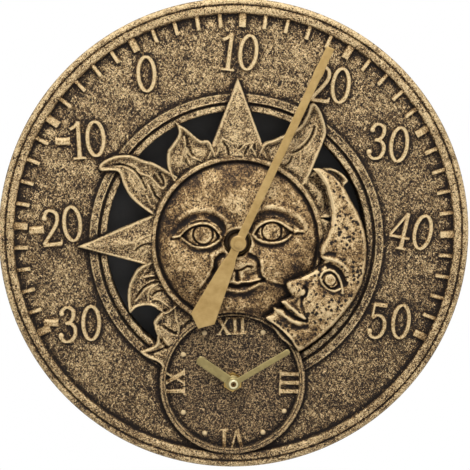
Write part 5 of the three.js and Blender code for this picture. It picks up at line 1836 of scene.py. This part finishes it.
@dataclass
class PatinaAndShade:
    """Wear of the castings, and grime with painted shade in their hollows and beside raised metal, from how
    their heights change.
    """

    reach: float = 152.0
    inner_reach: float = 149.0
    side: float = 0.15
    step: float = 0.4
    ground: float = 19.0
    start: float = 0.2
    sight: float = 0.185
    rubbed: Pair = (0.75, 0.5)
    # Spread and depth of the darkening of hollows: grime with painted shade.
    hollow_dirt_and_shade: Pair = (1.2, 0.8)
    hems: tuple[float, ...] = (1.2, 2.6, 4.2)
    hem_ways: int = 14
    hem_limit: float = 2.0
    edge_wear: float = 0.25
    # Painted shade, with grime, on ground beside metal that stands above it.
    foot_dirt_and_shade: float = 1.4
    most: float = 1.3

    def _blurred(self, table: Array, spread: float) -> Array:
        """Height map blurred by a spread in millimetres.

        Args:
            table: Height map.
            spread: The spread.

        Returns:
            The blurred map.
        """
        sigma = spread / self.step
        reach = math.ceil(3 * sigma)
        weights = np.exp(-0.5 * (np.arange(-reach, reach + 1) / sigma) ** 2)
        weights /= weights.sum()
        for axis, size in enumerate(table.shape):
            padded = np.pad(table, [(reach, reach) if a == axis else (0, 0) for a in (0, 1)], "edge")
            table = sum(
                weight * np.take(padded, np.arange(start, start + size), axis=axis)
                for start, weight in enumerate(weights)
            )
        return table

    def _beside(self, heights: Array) -> tuple[Array, Array]:
        """How far the metal close by stands above and below each place.

        Args:
            heights: Height map.

        Returns:
            The two means, with each difference counted up to a limit.
        """
        above, below = np.zeros_like(heights), np.zeros_like(heights)
        for reach in self.hems:
            for turn in directions(self.hem_ways):
                shift = [round(reach / self.step * part) for part in (math.sin(turn), math.cos(turn))]
                rise = np.roll(heights, shift, (0, 1)) - heights
                above += np.clip(rise, 0, self.hem_limit)
                below += np.clip(-rise, 0, self.hem_limit)
        count = len(self.hems) * self.hem_ways
        return above / count, below / count

    def _heights(self, pieces: Sequence[Piece]) -> Array:
        """Height of the castings over a grid, seen from the front.

        Args:
            pieces: The castings' pieces.

        Returns:
            Heights by row, from the bottom, and column.
        """
        places, faces, first = [], [], 0
        for piece in pieces:
            mesh = piece.data
            mesh.calc_loop_triangles()
            corners = np.empty(len(mesh.loop_triangles) * 3, np.int32)
            mesh.loop_triangles.foreach_get("vertices", corners)
            places.append(points_of(piece))
            faces.append(corners.reshape(-1, 3) + first)
            first += len(mesh.vertices)
        tables = np.vstack(places).tolist(), np.vstack(faces).tolist()
        tree = BVHTree.FromPolygons(*tables, all_triangles=True)
        line = np.arange(-self.reach, self.reach + self.step / 2, self.step)
        heights = np.full((len(line), len(line)), self.ground)
        toward = Vector((0, 1, 0))
        for row, y in enumerate(line):
            half = math.sqrt(max(self.reach**2 - y * y, 0))
            for column in np.flatnonzero(np.abs(line) <= half):
                start = Vector((line[column] * MM, -self.start, y * MM))
                hit = tree.ray_cast(start, toward, self.sight)[0]
                if hit is not None:
                    heights[row, column] = max(-hit.y / MM, self.ground)
        return heights

    def apply(self, pieces: Sequence[Piece]) -> None:
        """Writes the wear, and the grime with its painted shade, to each piece's points.

        Args:
            pieces: The castings' pieces.
        """
        heights = self._heights(pieces)
        fine, medium = self._blurred(heights, self.rubbed[0]), self._blurred(heights, self.hollow_dirt_and_shade[0])
        above, below = self._beside(heights)
        rubbed = np.clip((heights - fine) / self.rubbed[1], 0, 1) + self.edge_wear * below
        # Grime with painted shade: hollows and the ground beside raised metal are darkened as if shaded.
        dirt_and_shade = np.clip((medium - heights) / self.hollow_dirt_and_shade[1], 0, 1) + self.foot_dirt_and_shade * above
        maps = {"polish": rubbed, "grime_and_shade": self._blurred(dirt_and_shade, self.step)}
        held = {name: np.clip(values, 0, self.most) for name, values in maps.items()}
        for piece in pieces:
            table = points_of(piece) / MM
            gap = np.hypot(table[:, 0], table[:, 2])
            inward = np.minimum(1, self.inner_reach / np.maximum(gap, 1))
            column = (table[:, 0] * inward + self.reach) / self.step
            row = (table[:, 2] * inward + self.reach) / self.step
            left, low = column.astype(int), row.astype(int)
            u, v = column - left, row - low
            for name, values in held.items():
                lower = values[low, left] * (1 - u) + values[low, left + 1] * u
                upper = values[low + 1, left] * (1 - u) + values[low + 1, left + 1] * u
                shares = np.where(gap > self.inner_reach + 0.5, self.side, lower * (1 - v) + upper * v)
                attribute = piece.data.attributes.new(name, "FLOAT", "POINT")
                attribute.data.foreach_set("value", shares.astype(np.float32))


# Hands and fasteners


@dataclass
class Hands:
    """The thermometer hand, the two clock hands, and what holds them."""

    wardrobe: Wardrobe
    pointer_arc: float = scale_arc(18.2)
    pointer_length: float = 136.0
    tail_length: float = 59.7
    pointer_half: float = 4.8
    pointer_hub: float = 5.1
    blade: Path = ((0.84, 0.54), (0.875, 0.64), (0.92, 0.54), (1, 0.54))
    tail: Path = ((0.12, 0.58), (0.17, 0.62), (0.23, 0.87), (0.885, 1.72))

    def _flat(
        self, name: str, outline: Path, centre: Array, arc: float, hub: float, bore: float, back: float,
        front: float,
    ) -> Piece:
        """Stamped hand with softened edges and a crowned hub.

        Args:
            name: Name of the piece.
            outline: Its outline, pointing up from its pivot.
            centre: Its pivot.
            arc: Where it points.
            hub: Radius of the hub's crown.
            bore: Radius of its hole.
            back: Height of its back.
            front: Height of its front.

        Returns:
            The hand.
        """
        table = np.array(outline, float)
        loop = centre + table[:, :1] * heading(arc + 90) + table[:, 1:] * heading(arc)
        edge = resampled(loop, 3)

        def height(x: Array, y: Array) -> Array:
            """Height of the hand's front."""
            crown = 0.12 * smooth((hub - away(x, y, centre)) / 0.8)
            return front - 0.3 * (1 - smooth(distance_to(x, y, edge, True) / 0.42)) + crown - 0.12

        rings = [loop, circle(centre, bore, 40)]
        return Shell().slab(rings, 0.9, height, level(back), (0.22, 0.5)).piece(name, 30)

    def thermometer(self) -> None:
        """Long hand with a spear's tip and a widening tail, and its hub."""
        half, hub = self.pointer_half, self.pointer_hub
        low = [(width * half, -share * self.tail_length) for share, width in self.tail]
        high = [(width * half, share * self.pointer_length) for share, width in self.blade]
        ends = -math.acos(low[0][0] / hub), math.acos(high[0][0] / hub)
        arc = [(hub * math.cos(a), hub * math.sin(a)) for a in np.linspace(*ends, 9)]
        side = [*reversed(low), *arc, *high]
        outline = [(0, -self.tail_length), *side, *[(-x, y) for x, y in reversed(side)]]
        name, sizes = "thermometer_hand_blade", (4.6, 1.9, 34.3, 35.2)
        blade = self._flat(name, outline, SUN_CENTRE, self.pointer_arc, *sizes)
        corners = [(1.8, 34.4), (5.0, 34.4), (5.0, 35.5), (4.4, 35.8), (1.8, 35.8)]
        crown = Shell().turned(SUN_CENTRE, rounded(corners, 0.3), 56).piece("thermometer_hand_hub")
        self.wardrobe.dress(crown, POINTER_GOLD, "gold_hand", Body.THERMOMETER)
        self.wardrobe.dress(blade, POINTER_GOLD, "gold_hand", Body.THERMOMETER, ["thermometer_hand"])

    def clock(self, body: Body, arc: float, sizes: tuple[float, ...]) -> None:
        """One of the clock's hands.

        Args:
            body: The body that carries it.
            arc: Where it points.
            sizes: Radius of its hub, length, half width, height of its back and radius of its hole.
        """
        hub, length, half, back, bore = sizes
        start = math.acos(half / hub)
        around = np.linspace(math.pi - start, 2 * math.pi + start, 30)
        side = [(half, length - half / 2), (half / 2, length)]
        outline = [(hub * math.cos(a), hub * math.sin(a)) for a in around]
        outline += [*side, *[(-x, y) for x, y in reversed(side)]]
        name = f"{body.value}_hand"
        piece = self._flat(
            name + "_blade", outline, SMALL_CENTRE, arc, hub - 0.4, bore, back, back + 0.8)
        self.wardrobe.dress(piece, HAND_OLIVE, "olive_hand", body, [name])

    def nut(self) -> None:
        """Knurled open nut that holds the minute hand."""
        corners = [
            (1.72, 30.4), (2.9, 30.4), (2.9, 31.3), (2.6, 31.5), (2.9, 31.8), (2.9, 32.9), (2.5, 33.2),
            (1.9, 33.2), (1.72, 32.9),
        ]
        piece = Shell().turned(SMALL_CENTRE, rounded(corners, 0.18), 64).piece("hand_nut")
        self.wardrobe.dress(piece, NUT_GOLD, "gold_nut", Body.MINUTE, ["minute_nut"])

    def boss(self) -> None:
        """Stepped bush that the thermometer's arbor turns in."""
        corners = [
            (1.8, 22.0), (8.05, 22.0), (8.05, 23.2), (6.0, 23.2), (6.0, 31.6), (5.7, 32.2), (5.7, 32.6),
            (4.9, 33.5), (1.8, 33.6),
        ]
        piece = Shell().turned(SUN_CENTRE, rounded(corners, 0.3), 72).piece("hub_boss")
        self.wardrobe.dress(piece, BOSS_BRONZE, "bronze_boss", nodes=["thermometer_bush"])

    def build(self) -> None:
        """Makes them all, as they stand in the photograph."""
        self.thermometer()
        self.clock(Body.HOUR, 305.0, (4.8, 27.5, 2.9, 26.5, 2.75))
        self.clock(Body.MINUTE, 60.0, (3.9, 41.5, 1.8, 29.3, 1.75))
        self.nut()
        self.boss()


@dataclass
class Screws:
    """Cross-recessed countersunk screws of the back."""

    wardrobe: Wardrobe
    rings: int = 10
    sides: int = 32

    def _template(self, head: float, head_length: float, shank: float, length: float) -> Piece:
        """One screw with its head at the back, round the middle of the dial.

        Args:
            head: Radius of its head.
            head_length: Length of its cone.
            shank: Radius of its shank.
            length: Its whole length.

        Returns:
            The screw.
        """
        reach = head * np.linspace(0.02, 0.96, self.rings)[:, None]
        x, y = polar((0, 0), reach, directions(self.sides))
        half, span = head * 0.14, head * 0.62
        across = np.minimum(np.abs(x), np.abs(y))
        deep = smooth((half * 1.5 - across) / (half * 0.6)) * smooth((span - reach) / (head * 0.12))
        rows = [*np.stack([x, y, head * 0.4 * deep], axis=-1)]
        profile = (
            (head, 0.06), (head, 0.2), (shank, head_length), (shank, length - 0.6), (shank * 0.5, length),
        )
        for radius, h in profile:
            rows.append(np.column_stack([circle((0, 0), radius, self.sides), np.full(self.sides, h)]))
        return Shell().lofted(np.array(rows), False).piece("template", 35)

    def piece(self, name: str, nodes: Sequence[str], spec: tuple[float, float, float, float]) -> None:
        """Puts a screw at each of these CAD screws.

        Args:
            name: Name of the piece.
            nodes: The CAD screws.
            spec: Sizes of the screw.
        """
        places = []
        for node in nodes:
            low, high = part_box(node)
            places.append(((low.x + high.x) / 2 / MM, (low.z + high.z) / 2 / MM, -high.y / MM))
        turns = [(number * 47) % 90 for number in range(len(nodes))]
        piece = repeated(name, self._template(*spec), np.array(places), turns, np.ones((len(nodes), 3)))
        self.wardrobe.dress(piece, ZINC, "zinc_steel", nodes=nodes)

    def build(self) -> None:
        """Makes the cover's screws and the hanger's."""
        covers = [f"cover_screw_{number}" for number in range(1, 7)]
        self.piece("cover_screws", covers, (2.95, 1.5, 1.4, 10.0))
        self.piece("hanger_screws", ["hanger_screw_1", "hanger_screw_2"], (2.25, 0.8, 1.1, 6.4))


CARRIED = {
    CHARCOAL: ["back_cover"],
    ZINC: [
        "hanger_plate", "contact_negative", "contact_positive", "sun_screw_1", "sun_screw_2", "sun_screw_3",
    ],
    BRASS: ["thermometer_can", "thermometer_bridge", "centre_bush", "bush_nut"],
    BIMETAL: ["bimetal_coil"],
    POINTER_GOLD: ["thermometer_arbor"],
    BLACK: ["movement_case", "movement_front", "setting_knob"],
    RUBBER: ["bush_washer"],
    NYLON: ["hour_wheel", "motion_wheel"],
    OLD_BRASS: ["minute_wheel"],
    CELL_WRAP: ["battery"],
}


# Light and camera


@dataclass
class Studio:
    """White surroundings, a pale floor, soft lamps and the camera."""

    distance: float = 1.15
    raised: float = 5.5
    leftward: float = 3.6
    view: float = 0.299
    aim: Triple = (-0.0004, -0.024, 0.0003)
    floor: float = -900.0
    floor_depth: float = 20.0
    floor_half_width: float = 3000.0
    floor_ends: Pair = (2600.0, -2400.0)
    key: float = 18.5
    fill: float = 3.5
    ambient: float = 0.33

    def world(self) -> None:
        """White where it is seen, and soft light elsewhere."""
        world = bpy.data.worlds.new("studio")
        bpy.context.scene.world = world
        world.use_nodes = True
        node = partial(add_node, world.node_tree)
        world.node_tree.nodes.clear()
        mixed = {0: seen_directly(world.node_tree)}
        for place, strength in ((1, self.ambient), (2, 1.0)):
            inputs = {"Color": (1, 1, 1, 1), "Strength": strength}
            mixed[place] = node("ShaderNodeBackground", inputs).outputs[0]
        node("ShaderNodeOutputWorld", {0: node("ShaderNodeMixShader", mixed).outputs[0]})

    def ground(self) -> None:
        """Plain pale floor below the clock, which ends out of the picture."""
        front, behind = self.floor_ends
        high, low = self.floor, self.floor - self.floor_depth
        rows = [
            [(x, high, front), (x, high, behind), (x, low, behind), (x, low, front)]
            for x in (-self.floor_half_width, self.floor_half_width)
        ]
        floor = Shell().lofted(np.array(rows), False).piece("floor")
        board = Board("floor_paint")
        pale = board.ramp(board.noise(2.5, 3), ((0.0, (243, 243, 243)), (1.0, (250, 250, 250))))
        gap = board.node("ShaderNodeVectorMath", {0: board.place}, operation="LENGTH").outputs["Value"]
        glow = board.product(seen_directly(board.tree), board.sum((gap, 0.33), (1.0, 0.05)))
        shader = {
            "Base Color": pale, "Roughness": 0.8, "Emission Color": pale, "Emission Strength": glow,
        }
        floor.data.materials.append(board.done(shader))
        floor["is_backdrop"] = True

    def lamp(self, name: str, place: Triple, size: float, power: float) -> None:
        """Square lamp that points at the clock.

        Args:
            name: Its name.
            place: Where it stands, in metres.
            size: Its side, in metres.
            power: Its power, in watts.
        """
        light = bpy.data.lights.new(name, "AREA")
        light.size = size
        light.energy = power
        lamp = linked(name, light)
        lamp.location = place
        lamp.rotation_euler = (-Vector(place)).to_track_quat("-Z", "Y").to_euler()

    def camera(self) -> None:
        """Camera before the dial, a little raised and to the left."""
        data = bpy.data.cameras.new("camera")
        camera = linked("camera", data)
        raised, leftward = math.radians(self.raised), math.radians(self.leftward)
        across = -math.sin(leftward) * math.cos(raised)
        outward = Vector((across, -math.cos(leftward) * math.cos(raised), math.sin(raised)))
        camera.location = Vector(self.aim) + outward * self.distance
        camera.rotation_euler = (-outward).to_track_quat("-Z", "Y").to_euler()
        data.sensor_fit = "HORIZONTAL"
        data.angle = 2 * math.atan(self.view / 2 / self.distance)
        bpy.context.scene.camera = camera

    def build(self) -> None:
        """Sets up everything round the clock."""
        bpy.context.scene.view_settings.view_transform = "Standard"
        self.camera()
        self.world()
        self.ground()
        self.lamp("key", (-0.05, -0.8, 1.15), 0.8, self.key)
        self.lamp("fill", (1.3, -1.6, 0.2), 1.4, self.fill)


def castings(wardrobe: Wardrobe) -> None:
    """Builds the castings and dresses them with one patina, with painted shade in its grime.

    Args:
        wardrobe: Where the materials come from.
    """
    dial, sun = Dial(), Sun()
    rim, face, moon = dial.rim(), sun.face(), Moon().piece(sun.moon_loop())
    field = [dial.plain_field(), dial.window_ring()]
    raised = [dial.numerals(), dial.marks(), dial.hours()]
    small = [dial.small_dial()]
    rays = [sun.flame(name, flame) for name, flame in FLAMES.items()]
    rays.append(sun.straight("ray_top", TOP_RAY, TOP_RAY_CARVING))
    rays.append(sun.straight("ray_left", LEFT_RAY, LEFT_RAY_CARVING))
    rays += [sun.hidden_ray(), sun.posts()]
    groups = (
        ([rim], RIM_BRONZE), (field, DIAL_BRONZE), (raised, NUMERAL_BRONZE), (small, SMALL_DIAL_BRONZE),
        (rays, SUN_BRONZE), ([face], FACE_BRONZE), ([sun.ring()], RING_BRONZE),
        ([dial.pips()], PIP_BRONZE),
    )
    PatinaAndShade().apply([moon, *(piece for pieces, _ in groups for piece in pieces)])
    for pieces, finish in groups:
        for piece in pieces:
            wardrobe.dress(piece, finish, "bronze_casting")
    wardrobe.dress(moon, MOON_BRONZE, "moon_casting", nodes=["moon_casting"])
    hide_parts("dial_casting")
    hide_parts("sun_casting")


def main() -> None:
    """Builds the studio and every sub-assembly in order."""
    logging.basicConfig(level=logging.INFO, format="%(name)s: %(message)s")
    Studio().build()
    wardrobe = Wardrobe()
    castings(wardrobe)
    Hands(wardrobe).build()
    Screws(wardrobe).build()
    for finish, nodes in CARRIED.items():
        for node in nodes:
            wardrobe.cover(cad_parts[node], finish)
    boxes = {"cad": CAD_BOX, "visual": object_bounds()}
    {name: [list(map(float, corner)) for corner in box] for name, box in boxes.items()}


if __name__ == "__main__":
    main()
